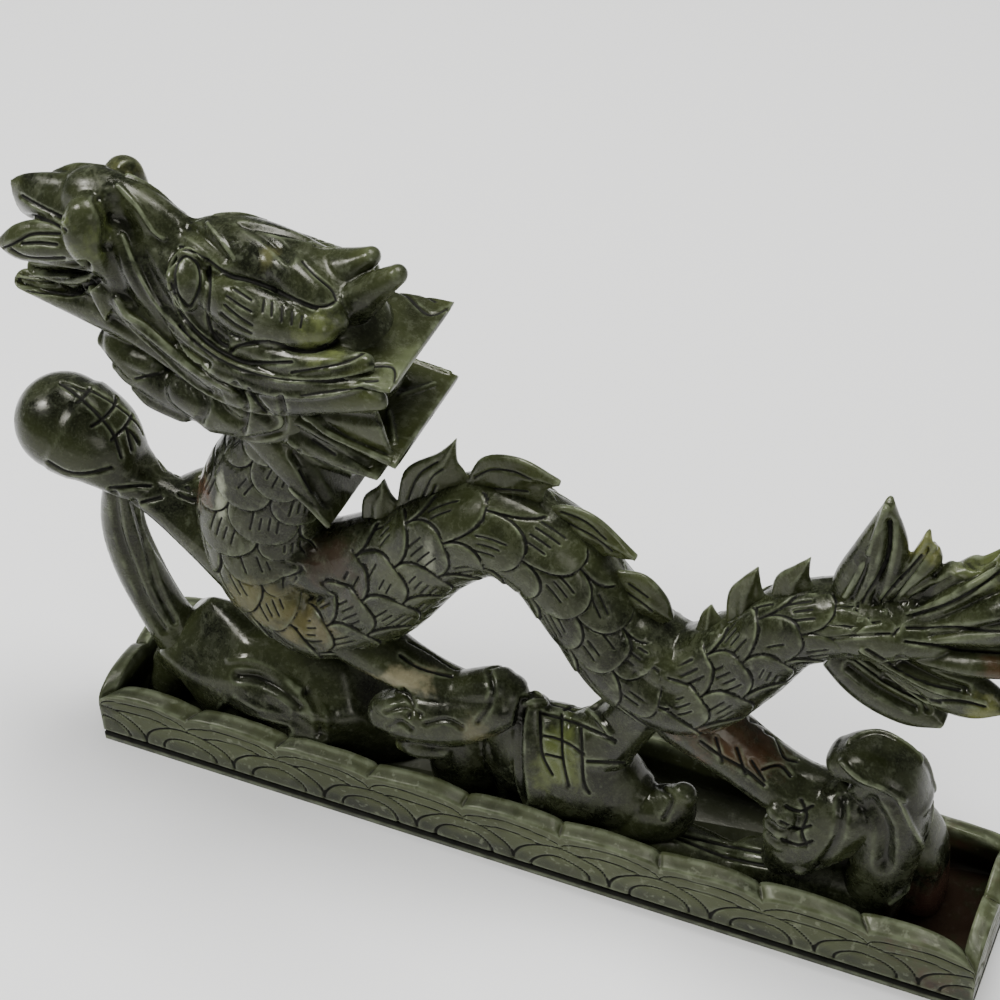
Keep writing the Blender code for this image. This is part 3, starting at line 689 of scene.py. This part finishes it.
masses = bmesh.new()
rod(masses, (-112, 0, 160, 7, 7), (-103, 0, 156.5, 11, 9.5), (-90, 0, 151, 13.5, 11), (-76, 0, 146.5, 15, 12.5),
    (-60, 0, 143.5, 15, 14), (-45, 0, 143, 12, 14), sides=32, square=0.95)
rod(masses, (-112, 0, 165, 5, 6), (-109.5, 0, 169.5, 5.2, 5.8), (-103, 0, 170, 5.2, 5.2), (-95, 0, 167, 5.4, 5),
    (-86, 0, 162, 5, 5), (-78, 0, 158, 5, 6))
rod(masses, (-84, 0, 159, 5, 6), (-77, 0, 162, 7, 8), (-66, 0, 162, 7.5, 9), (-54, 0, 158.6, 8, 9),
    (-46, 0, 156, 7, 8))
rod(masses, (-132.5, 0, 137.5, 2.4, 3.4), (-122, 0, 137.8, 3.4, 6), (-110, 0, 138, 6.2, 8),
    (-96, 0, 137, 8, 10), (-80, 0, 133, 11, 12), square=0.9)
rod(masses, (-105, 0, 128, 5.5, 8.5), (-96.5, 0, 121, 7, 9), (-85, 0, 117.5, 7.5, 9.5), (-74, 0, 119, 9, 11))
both_sides(masses, (-102, -6, 154, 4, 4), (-104.8, -8.6, 160, 5.4, 5), (-105.4, -9, 165, 5.8, 5.6),
           (-104.8, -8.4, 169, 5, 4.8))
both_sides(masses, (-104, -6, 148, 3, 3), (-95, -8.6, 143, 4, 3.6), (-86, -10.4, 138.5, 4.2, 4),
           (-76, -12, 133.5, 4.5, 4.4), (-62, -14.3, 132.5, 3.8, 4), (-47, -15.2, 137, 4, 3.2))
both_sides(masses, (-90, -6, 151, 3, 3), (-83, -9.5, 146, 3.6, 3.6), (-75, -11.8, 141.5, 4.2, 4.3),
           (-62, -13.6, 139.5, 4.5, 4.2), (-48, -14, 142, 4, 3.5))
rod(masses, (-62, -14.3, 133.5, 3.4, 4), (-45, -15.8, 138.4, 3.8, 3.2), (-29, -16.4, 143.4, 3, 2))
rod(masses, (-62, -13.6, 139.5, 4.5, 4.2), (-46, -15, 142, 4, 3.5), (-34, -15.2, 145, 3, 2.4))
rod(masses, (-66, -11.6, 146, 3, 3.5), (-52, -13.6, 146, 3.6, 3.8), (-42, -13.8, 148, 3.4, 3.6),
    (-34, -12.6, 149.6, 2.4, 2.6))
rod(masses, (-62, -3, 163, 3, 3.5), (-57, -4.8, 164, 4.4, 4.2), (-50, -6.8, 160.5, 5, 4.6),
    (-43, -8.5, 156, 3.5, 3.5))
rod(masses, (-62, 3, 160, 3, 3.5), (-57, 4.8, 159, 4, 4), (-50, 6.8, 156, 4.6, 4.4), (-43, 8.5, 152, 3.5, 3.5))
both_sides(masses, (-86, -7, 122, 5, 5), (-76, -9, 121, 6.5, 5), (-66, -9.5, 123, 6.5, 5), (-58, -9, 126, 5, 5))
both_sides(masses, (-80, -5, 118, 4, 5), (-71, -8, 117.6, 4.2, 4.4), (-62, -9.2, 119.6, 4.2, 4.4),
           (-55, -8.6, 123.6, 4, 4))
soft = joined("head_masses", masses, 0.6, 22)
block = bmesh.new()
block.from_mesh(soft)
bpy.data.meshes.remove(soft)
blade(block, ((-103, 173.5), (-116, 172), (-126, 169.6), (-130.9, 166.6)),
      ((-106, 157), (-118, 156.3), (-125.5, 156.6), (-129.4, 157.6)), (0, 0), (7, 5, 1), square=1.3)
for sign in (-1, 1):
    blade(block, ((-106, 166), (-120, 162.5), (-127, 159.5), (-132, 154.4)),
          ((-106, 151), (-120, 150), (-128, 150), (-132.2, 153.2)), (sign * 6.2, sign * 7.5), (4.5, 4, 0.8),
          square=1.3)
for x, z in ((-110, 127), (-107, 120.5), (-102.5, 115)):
    rod(block, (x + 14, 0, z - 1, 4.5, 9), (x + 5, 0, z, 4, 8), (x, 0, z + 0.5, 2.2, 5.5))
rod(block, (-64, 1, 156, 6, 7), (-53, 2, 158.5, 6.5, 6.5), (-45, 3, 162, 4.6, 5), (-39, 3, 166.5, 2.4, 2.8))
rod(block, (-54, -2, 150, 6, 6), (-41, -2, 157, 5, 5), (-35, -2, 163, 3.6, 4), (-30, -2, 167.5, 2.4, 2.6))
rod(block, (-79.6, -7.8, 162.6, 2.4, 2.4), (-79.2, -9.8, 158.6, 4.9, 4), (-79.4, -11.2, 153.8, 3.2, 2.8))
rod(block, (-79.6, 7.8, 158.6, 2.4, 2.4), (-79.2, 9.8, 155.6, 4.6, 4), (-79.4, 11.2, 151.8, 3.2, 2.8))
rod(block, (-127, 0, 143.5, 2.6, 4), (-118, 0, 145, 4, 5.5), (-106, 0, 147, 7, 7.5))
blade(block, ((-106, 175), (-114, 173.5), (-121, 169.3)), ((-106, 166), (-114, 166), (-121, 168.7)), (2.5, 3.5),
      (3, 2, 0.7))
both_sides(block, (-74, -8.5, 155, 5, 4), (-67, -10, 154.5, 7.4, 5.2), (-56.5, -10.4, 153.5, 7, 5.6),
           (-45.5, -10.6, 155, 4.4, 4.2))
both_sides(block, (-104.5, -7.6, 147, 4, 2.4), (-104, -8.8, 143.5, 2.2, 1.6), (-103.8, -9.4, 139.8, 0.5, 0.5))
both_sides(block, (-97, -8.6, 146, 4, 2.4), (-96, -9.8, 142.5, 2.2, 1.6), (-95.4, -10.4, 139.5, 0.5, 0.5))
both_sides(block, (-81, -8, 119, 5, 4), (-77, -9, 120, 6, 5), (-72, -8, 118, 5, 4))
skull = joined("dragon_head", block, 0.42, 4)
cut = marked(skull, (
    # painted shade in the mouth's opening, the hollow of the jaw, the nostril's mouth and under the cheek
    (9, 2.5, 0.9, ((24, 268), (50, 270), (84, 268))),
    (7, 1.8, 0.5, ((18, 284), (50, 288), (78, 290), (96, 279))),
    (9, 0.9, 0.3, ((98, 200), (107, 222), (106, 246))),
    (8, 1, 0.45, ((112, 320), (140, 340), (172, 366), (206, 392)), ((196, 384), (205, 404), (200, 420))),
    # broad flutes down the muzzle and along the cheek, and the facets of the brow
    (16, 1.6, 0, ((116, 204), (136, 250), (156, 292), (176, 322))),
    (11, 1.2, 0, ((108, 250), (118, 280), (136, 312), (168, 342), (204, 366)),
     ((190, 228), (206, 240), (224, 258))),
    (9, 1.1, 0, ((214, 392), (222, 410), (238, 422)), ((250, 396), (262, 412), (274, 424)),
     ((244, 222), (268, 238), (288, 258))),
    # ridges that the flutes leave, and the lids
    (4.5, -0.8, 0, ((118, 186), (137, 206), (153, 229), (164, 238))),
    (4.5, -0.7, 0, ((122, 236), (138, 272), (160, 308), (190, 338))),
    (4, -0.8, 0, ((171, 288), (170, 270), (177, 256), (190, 250), (204, 258))),
    (4, -0.5, 0, ((176, 296), (186, 312), (200, 330), (214, 341)), ((208, 224), (220, 238), (234, 258))),
    (6, -0.8, 0, ((118, 300), (128, 316), (146, 326), (168, 346), (198, 372), (234, 392))),
    (6, -0.8, 0, ((204, 345), (225, 360), (251, 370), (280, 379), (312, 380), (345, 376), (388, 366))),
    (6, -0.8, 0, ((180, 348), (212, 372), (244, 385), (276, 394), (309, 396), (345, 391), (394, 374))),
    # cut lines
    (5, 1, 0, ((14, 280), (36, 282), (60, 280), (84, 270)), ((234, 384), (246, 404), (243, 432)),
     ((280, 398), (285, 423), (276, 434), (243, 441))),
    (2.6, 0.6, 1,
     ((174, 275), (177, 263), (186, 256), (198, 264), (201, 280), (197, 296), (189, 307), (177, 293), (174, 275)),
     ((303, 261), (316, 275), (332, 289), (337, 300)), ((273, 289), (305, 304), (323, 307), (335, 302))),
    (3.2, 0.8, 1,
     ((180, 247), (198, 254), (214, 266), (228, 275), (248, 280), (273, 289), (294, 300), (316, 309)),
     ((209, 268), (209, 286), (207, 311), (210, 329), (218, 341), (226, 346)),
     ((171, 283), (180, 312), (198, 334), (223, 352), (250, 363), (291, 362)),
     ((230, 352), (241, 345), (269, 343), (294, 350), (316, 350), (337, 341)),
     ((180, 325), (201, 348), (226, 364), (255, 375), (287, 380), (330, 382), (372, 374)),
     ((0, 250), (16, 242), (32, 234), (60, 234)), ((21, 244), (38, 243), (56, 245)),
     ((10, 250), (29, 259), (64, 259)), ((22, 215), (48, 220), (65, 231)), ((21, 196), (40, 207), (62, 218)),
     ((26, 292), (50, 292), (74, 294), (92, 282))),
    (2.6, 0.5, 1, ((234, 289), (251, 300)), ((226, 296), (239, 305), (251, 312)),
     ((224, 305), (237, 316), (252, 326)), ((220, 313), (235, 325), (251, 334)),
     ((217, 323), (228, 332), (239, 338)), ((215, 332), (222, 339)), ((264, 300), (262, 312)),
     ((272, 302), (271, 316)), ((282, 306), (281, 322)), ((292, 311), (291, 325)), ((302, 316), (300, 328)),
     ((135, 379), (159, 374)), ((291, 373), (340, 364), (366, 351)), ((248, 389), (259, 405), (266, 413)),
     ((300, 396), (340, 390), (376, 388))),
))
finish("dragon_head", skull, cut, POLISHED, keep=0.62, glow=0.75)

# The mane: four layers of hair behind the cheeks, of the same stone. Each is a thick wedge with a
# rim along its lower edge, sawn straight across the width of the block.
block = bmesh.new()
rod(block, (-62, 0, 142, 9, 12), (-45, 0, 145.6, 3.4, 15.4), (-34, 0, 146.4, 2.2, 16.8),
    (-26, 0, 147, 0.9, 17.6), sides=64, square=0.5, dome=1)
rod(block, (-66, 0, 134, 3, 11), (-49, 0, 131.4, 1.7, 15.2), (-44, 0, 129, 1.5, 15.8), (-38, 0, 127, 1.4, 16.4),
    (-26, 0, 125, 1.3, 17.6), sides=64, square=0.5, dome=1)
rod(block, (-68, 0, 134, 10, 10), (-52, 0, 137, 8, 11), (-44, 0, 137, 8, 11), (-39, 0, 137, 7.5, 10),
    square=0.8)
blade(block, ((-54, 134), (-46.8, 137), (-39, 141), (-32, 143)),
      ((-52, 131), (-44, 128.6), (-38, 126.8), (-27.5, 125)), (-12.6, -14, -15), (1.6, 1.3, 1))
blade(block, ((-56, 133), (-51, 135), (-47, 136), (-43, 136)),
      ((-54, 131), (-49, 130), (-45, 129), (-42, 128.6)), (12.6, 14), (1.6, 1.3))
rod(block, (-68, 0, 124, 7, 11), (-50, 0, 121, 6, 13.5), (-40, 0, 118.6, 3.6, 14.3), (-32.5, 0, 117, 1.3, 14.6),
    sides=64, square=0.5, dome=1)
rod(block, (-70, 0, 121, 7, 11), (-58, 0, 110, 5.5, 13.5), (-47.5, 0, 96.4, 1.3, 13.6), sides=64, square=0.6,
    dome=1)
hair = joined("mane", block, 0.45, 3)
cut = marked(hair, (
    # hollows between the hair layers, with painted shade in them
    (10, 1.2, 0.5, ((300, 408), (345, 416), (378, 420)), ((296, 432), (330, 450), (368, 466)),
     ((296, 455), (312, 480), (326, 502))),
    (4, -0.8, 0, ((304, 416), (325, 431), (349, 443), (389, 460)),
     ((290, 441), (314, 460), (340, 470), (377, 484)), ((290, 489), (310, 506), (328, 525)),
     ((389, 413), (394, 441))),
    (3, 0.5, 1, ((312, 440), (335, 455)), ((300, 470), (312, 492))),
    (3, 0.5, 0.9, ((291, 373), (340, 372), (372, 366), (393, 367), (395, 382)),
     ((300, 390), (340, 384), (378, 380))),
))
finish("mane", hair, cut, POLISHED, keep=0.6, thick=6.0, glow=0.45)

# The claw and ball: a forepaw stretched forward with a ball in it, both left from the block, and
# a wave under the paw that holds it up. The fingers are parted by cuts.
block = bmesh.new()
rod(block, (-128.8, 0, 93.7, 12.7, 12.7), (-128.3, 0, 93.5, 12.7, 12.7), sides=48, dome=16)
rod(block, (-125.8, 0, 93, 13.2, 13.2), (-119, 0, 89.5, 12, 12), (-112, 0, 83, 7, 8.5), (-105, 0, 79, 4.5, 6),
    sides=48, dome=2)
rod(block, (-110, 0, 80, 5, 6), (-101, 0, 76, 6, 7), (-90, 0, 70, 8, 9), (-80, 0, 64, 10, 11))
rod(block, (-98, 6, 72, 7, 7), (-92, 6, 75, 8, 8), (-84, 5, 78, 8.5, 8))
rod(block, (-115, 0, 76, 5, 5), (-116.5, 0, 63, 6.2, 5), (-114.5, 0, 50, 7, 5.5), (-109.5, 0, 36, 7, 6),
    (-102.5, -1, 25, 7, 7))
claw = joined("claw_and_ball", block, 0.45, 3)
cut = marked(claw, (
    (3.2, 0.8, 1, ((61, 383), (78, 395), (100, 416), (114, 434), (122, 458)),
     ((96, 374), (112, 392), (124, 416), (133, 450)), ((78, 401), (90, 389), (102, 377)),
     ((92, 426), (106, 416), (120, 399)), ((112, 440), (131, 422)),
     ((47, 462), (67, 473), (88, 474), (112, 468)), ((110, 489), (139, 486), (151, 486)),
     ((141, 503), (161, 497)), ((180, 495), (196, 500))),
    # hollows down the wave under the paw, with painted shade in them
    (7, 1, 0.2, ((114, 495), (120, 534), (133, 571), (147, 605), (163, 630))),
    (6, 0.9, 0.2, ((134, 503), (146, 544), (156, 585), (174, 622))),
))
finish("claw_and_ball", claw, cut, POLISHED, keep=0.65)

# Rocks and waves that fill the tray and carry the figure, left from the same block. The rocks
# are split into flat faces first, and then rubbed until their edges are round.
ROCK_FACES = (
    ((-80, -4, 40.5), (0.06, -0.16, 1)),
    ((-88, -10, 33), (-0.3, -0.7, 0.65)),
    ((-66, -11, 31), (0.22, -0.75, 0.6)),
    ((-48, -4, 28), (0.8, -0.2, 0.55)),
    ((-60, 4, 37), (0.3, 0.2, 0.9)),
    ((-76, 12, 30), (0, 0.8, 0.6)),
    ((-103, 0, 32), (-0.8, 0, 0.6)),
    ((-52, -12, 18), (0.5, -0.85, 0)),
)
block = bmesh.new()
rod(block, (-107, 0, 20, 9, 7), (-97, 0, 25.5, 18, 12.5), (-78, -1, 25, 20, 14.5), (-58, -1, 22, 18, 14.5),
    (-42, -1, 17, 13, 12), sides=48, square=0.7)
for spot, way in ROCK_FACES:
    bmesh.ops.bisect_plane(block, geom=block.verts[:] + block.edges[:] + block.faces[:], dist=1e-7,
                           plane_co=at(*spot), plane_no=way, clear_outer=True)
    bmesh.ops.holes_fill(block, edges=[e for e in block.edges if e.is_boundary], sides=0)
rod(block, (-80, -11, 25, 3, 4), (-70, -13.4, 22.5, 4.5, 4), (-60, -14, 19.5, 3.6, 3),
    (-54, -14.4, 18.5, 1.4, 1.6))
rod(block, (-77, -8, 29, 3, 5), (-66, -11.4, 29.5, 3.4, 4), (-56, -12.6, 26, 3, 3))
rod(block, (-110, -3, 4, 6, 6), (-108, -3, 12, 5, 6), (-106, -3, 19, 4, 5), square=0.7, dome=1)
rod(block, (28, -6, 9, 6, 7), (44, -7, 11, 6, 7), (60, -8, 9, 5, 6), (74, -8, 9, 5, 5))
rod(block, (100, 5, 4, 6, 8), (99, 5, 22, 6, 8), (97, 5, 31, 4.5, 7), (95, 5, 37, 2.5, 4), square=0.6, dome=1)
rod(block, (60, -6, 12, 8, 7), (74, -6, 14, 9, 8), (88, -4, 12, 8, 8))
rocks = joined("rocks_and_waves", block, 0.55, 110)
cut = marked(rocks, (
    # hollows in the rock's face, with painted shade in them
    (9, 1.3, 0.6, ((238, 676), (258, 678), (282, 690), (298, 706)), ((226, 710), (246, 722), (284, 732))),
    (7, -0.5, 0, ((230, 660), (252, 660), (276, 670), (300, 690)), ((236, 696), (258, 708), (290, 714))),
    (9, 0.8, 0, ((308, 693), (318, 712), (320, 734))),
    (3, 0.8, 1, ((662, 830), (723, 844), (773, 855)), ((676, 837), (730, 858), (773, 867))),
))
finish("rocks_and_waves", rocks, cut, POLISHED, keep=0.6)

# The legs that stand in the tray, with their paws, and a wave curl over the last one. They are
# one with the body and the rocks, and their folds and fingers are cut in.
block = bmesh.new()
rod(block, (-50, -3, 51.5, 8, 9), (-34, -5, 46, 6, 7), (-18, -6, 43.5, 5.2, 6), (-6, -6, 47, 6, 6))
rod(block, (-18, -6, 44, 5, 6), (-12, -6, 47, 5.5, 6), (-8.5, -6, 49, 5.2, 6))
rod(block, (-7, -8, 45, 6, 6), (-18, -9, 38, 8, 7), (-30, -10, 35, 8, 7), (-38, -10, 33, 5, 6))
rod(block, (-18, -5, 4, 9, 7), (-20, -6, 20, 9, 7), (-22, -7, 33, 8, 6), dome=1)
rod(block, (32, -2, 64, 9, 9), (26, -4, 50, 7, 7), (17, -5, 38, 10, 8), (8, -5, 28, 13, 9))
rod(block, (-7, -5, 23, 11, 6), (2, -5, 26, 18.5, 9), (12, -5, 25, 19.5, 10), (24, -5, 19, 13, 8), sides=40,
    square=0.9)
rod(block, (26, -6, 14, 9, 7), (36, -6, 22, 8, 6), (41, -6, 30, 3.5, 3))
rod(block, (40, -2, 56, 10, 9), (56, -3, 47, 8, 8), (70, -4, 41, 8, 8), (83, -4, 41, 9, 8))
rod(block, (82, -6, 42, 9, 8), (76, -7, 34, 10, 8), (70, -8, 26, 8, 7), (67, -8, 21, 5, 5))
rod(block, (79, -2, 55, 4, 6), (85, -2, 57, 5.5, 7.5), (92, -2, 54, 6, 8), (97, -2, 48, 4, 6), square=0.75)
rod(block, (84, -3, 54, 6, 6), (91, -3, 49, 8, 8), (93, -4, 38, 8, 8), (91, -6, 22, 8, 6), (89, -6, 4, 7, 5),
    sides=48, dome=1, square=0.8)
for x, z in ((67.6, 41), (66.8, 36.5), (67, 32), (68.8, 28), (72.4, 25.6)):
    rod(block, (x - 1, -11.6, z, 2.9, 2.9), (x + 1, -12.4, z - 0.3, 2.9, 2.9), sides=16)
for x, z in ((-34, 39), (-33, 33), (-28, 28)):
    rod(block, (x + 6, -12, z, 3.2, 3.4), (x, -13, z - 1, 3.4, 3.4), (x - 5, -12, z - 3, 2.2, 2.4))
rod(block, (1, -5, 44, 4, 5), (1.6, -8, 38, 5, 5.5), (3, -10, 28, 6, 6), (5, -10, 16, 5.5, 5.5))
rod(block, (-10, -7, 45, 4, 5), (-9, -6, 38, 4, 5), (-8, -4, 26, 4, 5), (-7, -4, 8, 4, 5))
limbs = joined("legs_and_paws", block, 0.45, 4)
cut = marked(limbs, (
    # wide hollows between the limbs and in the drape, with painted shade in them
    (7, 1.2, 0.7, ((524, 700), (519, 720), (518, 760), (522, 800))),
    (8, 0.9, 0.7, ((842, 800), (838, 837), (818, 868))),
    (14, 2, 0.15, ((870, 806), (884, 832), (884, 862))),
    (5, -0.9, 0, ((842, 762), (860, 778), (884, 788), (904, 800)),
     ((898, 796), (910, 824), (926, 856), (919, 876), (890, 902)),
     ((524, 703), (566, 701), (594, 714), (611, 734))),
    (5, 0.7, 0, ((386, 712), (405, 707), (420, 715)), ((403, 690), (412, 703), (409, 716)),
     ((389, 727), (400, 722), (412, 730)), ((426, 724), (446, 720), (462, 728)),
     ((489, 672), (493, 690), (488, 707), (478, 722)), ((660, 786), (672, 800), (664, 818))),
    (3, 0.8, 1, ((541, 712), (541, 752), (552, 776)), ((562, 714), (562, 755), (568, 787)),
     ((580, 728), (583, 780), (589, 794)), ((541, 713), (566, 719), (594, 731), (615, 742)),
     ((543, 736), (562, 741), (583, 755)), ((545, 755), (562, 759)), ((587, 762), (625, 764)),
     ((716, 738), (722, 762)), ((737, 748), (745, 774)), ((752, 761), (764, 781)),
     ((762, 770), (780, 765), (791, 776)), ((700, 742), (720, 756), (745, 770), (764, 786)),
     ((400, 655), (420, 668), (452, 676)), ((786, 806), (800, 812), (812, 806)),
     ((780, 822), (796, 829), (810, 826)), ((782, 840), (798, 846), (812, 842)),
     ((801, 800), (806, 815), (801, 832), (806, 846))),
), middle=-5)
finish("legs_and_paws", limbs, cut, POLISHED, keep=0.6, glow=0.8)

# The tray: the lower part of the block, a trough with a foot groove and a scalloped rim. Wave arcs
# are cut into its four sides by hand, and the stone is polished less than on the figure.
LENGTH, WIDTH, FLOOR, WALL = 240.0, 41.3, 7.0, 4.2
FOOT, GROOVE, GROOVE_DEEP = 2.6, 1.0, 0.8
PEAK, VALLEY, CORNER, SLOPE = 20.8, 18.6, 15.3, 1.4
LOBES_ALONG, LOBES_ACROSS = 9, 2
STEPS_ALONG, STEPS_ACROSS = 44, 34
FOOT_ROWS, SIDE_ROWS, SLOPE_ROWS, INNER_ROWS = 5, 30, 5, 6
ARC_WIDTH, ARC_DEPTH = 0.55, 0.4
FAN_REACH, FAN_SHARES = 8.8, (1.0, 0.6)
CREST_RISE, CRESTS = 3.9, ((1.0, 12.9), (0.86, 9.6))
CORNER_BARE = 0.6
HAND_SLIP, RIM_WEAR, NOISE_SEED = 0.7, 0.8, 5


def rim_at(t, before, after):
    """Height of the rim along one lobe; the lobes at a corner come down lower."""
    low = VALLEY
    if before and t < 0.5 or after and t > 0.5:
        low = CORNER
    return low + (PEAK - low) * math.sqrt(max(0.0, 1 - (2 * t - 1) ** 2))


def around_tray():
    """Places round the tray: shares of half length and half width, rim height, place in its lobe,
    and the lobe's size."""
    corners = ((-1, -1), (1, -1), (1, 1), (-1, 1))
    loop = []
    for side in range(4):
        lobes, steps = (LOBES_ALONG, STEPS_ALONG) if side % 2 == 0 else (LOBES_ACROSS, STEPS_ACROSS)
        (x0, y0), (x1, y1) = corners[side], corners[(side + 1) % 4]
        size = (LENGTH if side % 2 == 0 else WIDTH) / lobes
        for lobe in range(lobes):
            for step in range(steps):
                t = step / steps
                share = (lobe + t) / lobes
                high = rim_at(t, lobe == 0, lobe == lobes - 1)
                loop.append((x0 + (x1 - x0) * share, y0 + (y1 - y0) * share, high, t, size))
    return loop


def wave_arcs(t, z, size, spot):
    """How near a spot on a side is to a hand-cut wave arc; t runs along a lobe of that size."""
    half = size / 2
    low = FOOT + GROOVE + 0.4
    slip = noise.noise_vector(Vector(spot) / 8) * HAND_SLIP
    x = (t - 0.5) * size + slip.x
    z += slip.z
    from_valley = half - abs(x)
    front = math.hypot(from_valley / half, (z - low) / FAN_REACH)
    best = min(abs(front - share) * FAN_REACH for share in FAN_SHARES)
    if front > 1:
        for share, base in CRESTS:
            spread = half * share
            if abs(x) < spread:
                arc = base + CREST_RISE * math.sqrt(1 - (x / spread) ** 2)
                best = min(best, abs(z - arc))
    return max(0.0, 1 - best / ARC_WIDTH) if z > low - 0.2 else 0.0


noise.seed_set(NOISE_SEED)
loop = around_tray()
side_from = FOOT + GROOVE
rows = [(None, lambda h: 0.0), (0.0, lambda h: 0.0), (0.0, lambda h: FOOT), (GROOVE_DEEP, lambda h: FOOT),
        (GROOVE_DEEP, lambda h: FOOT + GROOVE)]
rows += [(0.0, lambda h, k=k: side_from + (h - SLOPE - side_from) * k / SIDE_ROWS) for k in range(SIDE_ROWS + 1)]
rows += [(WALL * k / SLOPE_ROWS, lambda h, k=k: h - SLOPE * (1 - k / SLOPE_ROWS)) for k in range(1, SLOPE_ROWS + 1)]
rows += [(WALL, lambda h, k=k: h + (FLOOR - h) * k / INNER_ROWS) for k in range(1, INNER_ROWS + 1)]
rows += [(None, lambda h: FLOOR)]
tray = bmesh.new()
bmesh.ops.create_grid(tray, x_segments=len(rows) - 1, y_segments=len(loop), size=1)
for vertex in tray.verts:
    row = round((vertex.co.x + 1) / 2 * (len(rows) - 1))
    column = round((vertex.co.y + 1) / 2 * len(loop)) % len(loop)
    inset, height = rows[row]
    x, y, high, t, size = loop[column]
    if inset is None:
        vertex.co = at(0, 0, height(high))
        continue
    z = height(high)
    spot = Vector((x * LENGTH / 2, y * WIDTH / 2, z))
    press = 0.0
    if FOOT_ROWS <= row <= FOOT_ROWS + SIDE_ROWS:
        press = wave_arcs(t, z, size, spot)
        from_corner = (1 - abs(x)) * LENGTH / 2 if abs(y) == 1 else (1 - abs(y)) * WIDTH / 2
        press *= min(1.0, from_corner / CORNER_BARE)
    near_rim = min(1.0, max(0.0, (z - high + SLOPE + 4) / 4))
    z -= near_rim * max(0.0, noise.noise(spot / 8) + 0.2) * RIM_WEAR
    sunk = inset + bowl(press) * ARC_DEPTH
    vertex.co = at(x * (LENGTH / 2 - sunk) if abs(x) == 1 or inset else x * LENGTH / 2,
                   y * (WIDTH / 2 - sunk) if abs(y) == 1 or inset else y * WIDTH / 2, z)
bmesh.ops.remove_doubles(tray, verts=tray.verts, dist=1e-6)
bmesh.ops.recalc_face_normals(tray, faces=tray.faces)
trough = bpy.data.meshes.new("wave_tray")
tray.to_mesh(trough)
tray.free()
points = surface(trough)[0] * 1000
cut = np.zeros(len(points))
for k, (x, y, z) in enumerate(points):
    at_end = abs(x) > LENGTH / 2 - CORNER_BARE
    if z > side_from - 0.1 and (at_end or abs(y) > WIDTH / 2 - CORNER_BARE):
        if at_end:
            t, size = (y / WIDTH + 0.5) * LOBES_ACROSS % 1.0, WIDTH / LOBES_ACROSS
        else:
            t, size = (x / LENGTH + 0.5) * LOBES_ALONG % 1.0, LENGTH / LOBES_ALONG
        cut[k] = wave_arcs(t, z, size, (x, y, z))
    elif FOOT - 0.1 < z < side_from:
        cut[k] = 1.0
GROUND = serpentine("ground_serpentine", deep=(0.012, 0.0135, 0.009, 1), green=(0.027, 0.031, 0.018, 1),
                    olive=(0.085, 0.1, 0.032, 1), gloss=0.3, rub=0.2, chips=0.6)
finish("wave_tray", trough, cut, GROUND)

# The studio: a pale paper floor under a white sky, with a large soft light overhead, a window-like
# key and a dim fill.
floor_mesh = bpy.data.meshes.new("floor")
ground = bmesh.new()
bmesh.ops.create_grid(ground, x_segments=1, y_segments=1, size=4)
ground.to_mesh(floor_mesh)
ground.free()
floor = stand("floor", floor_mesh)
paper = bpy.data.materials.new("pale_paper")
paper.use_nodes = True
coat = paper.node_tree.nodes["Principled BSDF"]
plug(paper.node_tree, coat, {"Base Color": (0.86, 0.86, 0.85, 1), "Roughness": 0.9})
floor_mesh.materials.append(paper)
LIGHTS_AIM = Vector((0, 0, 0.08))


def soft_light(name, place, size, power):
    lamp = bpy.data.lights.new(name, 'AREA')
    lamp.shape = 'RECTANGLE'
    lamp.size, lamp.size_y = size
    lamp.energy = power
    holder = stand(name, lamp)
    holder.location = place
    holder.rotation_euler = (LIGHTS_AIM - Vector(place)).to_track_quat('-Z', 'Y').to_euler()


soft_light("overhead", (0.05, 0.25, 1.2), (0.6, 0.45), 20)
soft_light("window", (-0.75, -0.35, 0.95), (0.25, 0.35), 12)
soft_light("fill", (0.9, -0.9, 0.6), (0.5, 0.5), 4)
sky = bpy.data.worlds.new("studio")
sky.use_nodes = True
plug(sky.node_tree, sky.node_tree.nodes["Background"], {"Color": (1, 1, 1, 1), "Strength": 0.22})
bpy.context.scene.world = sky
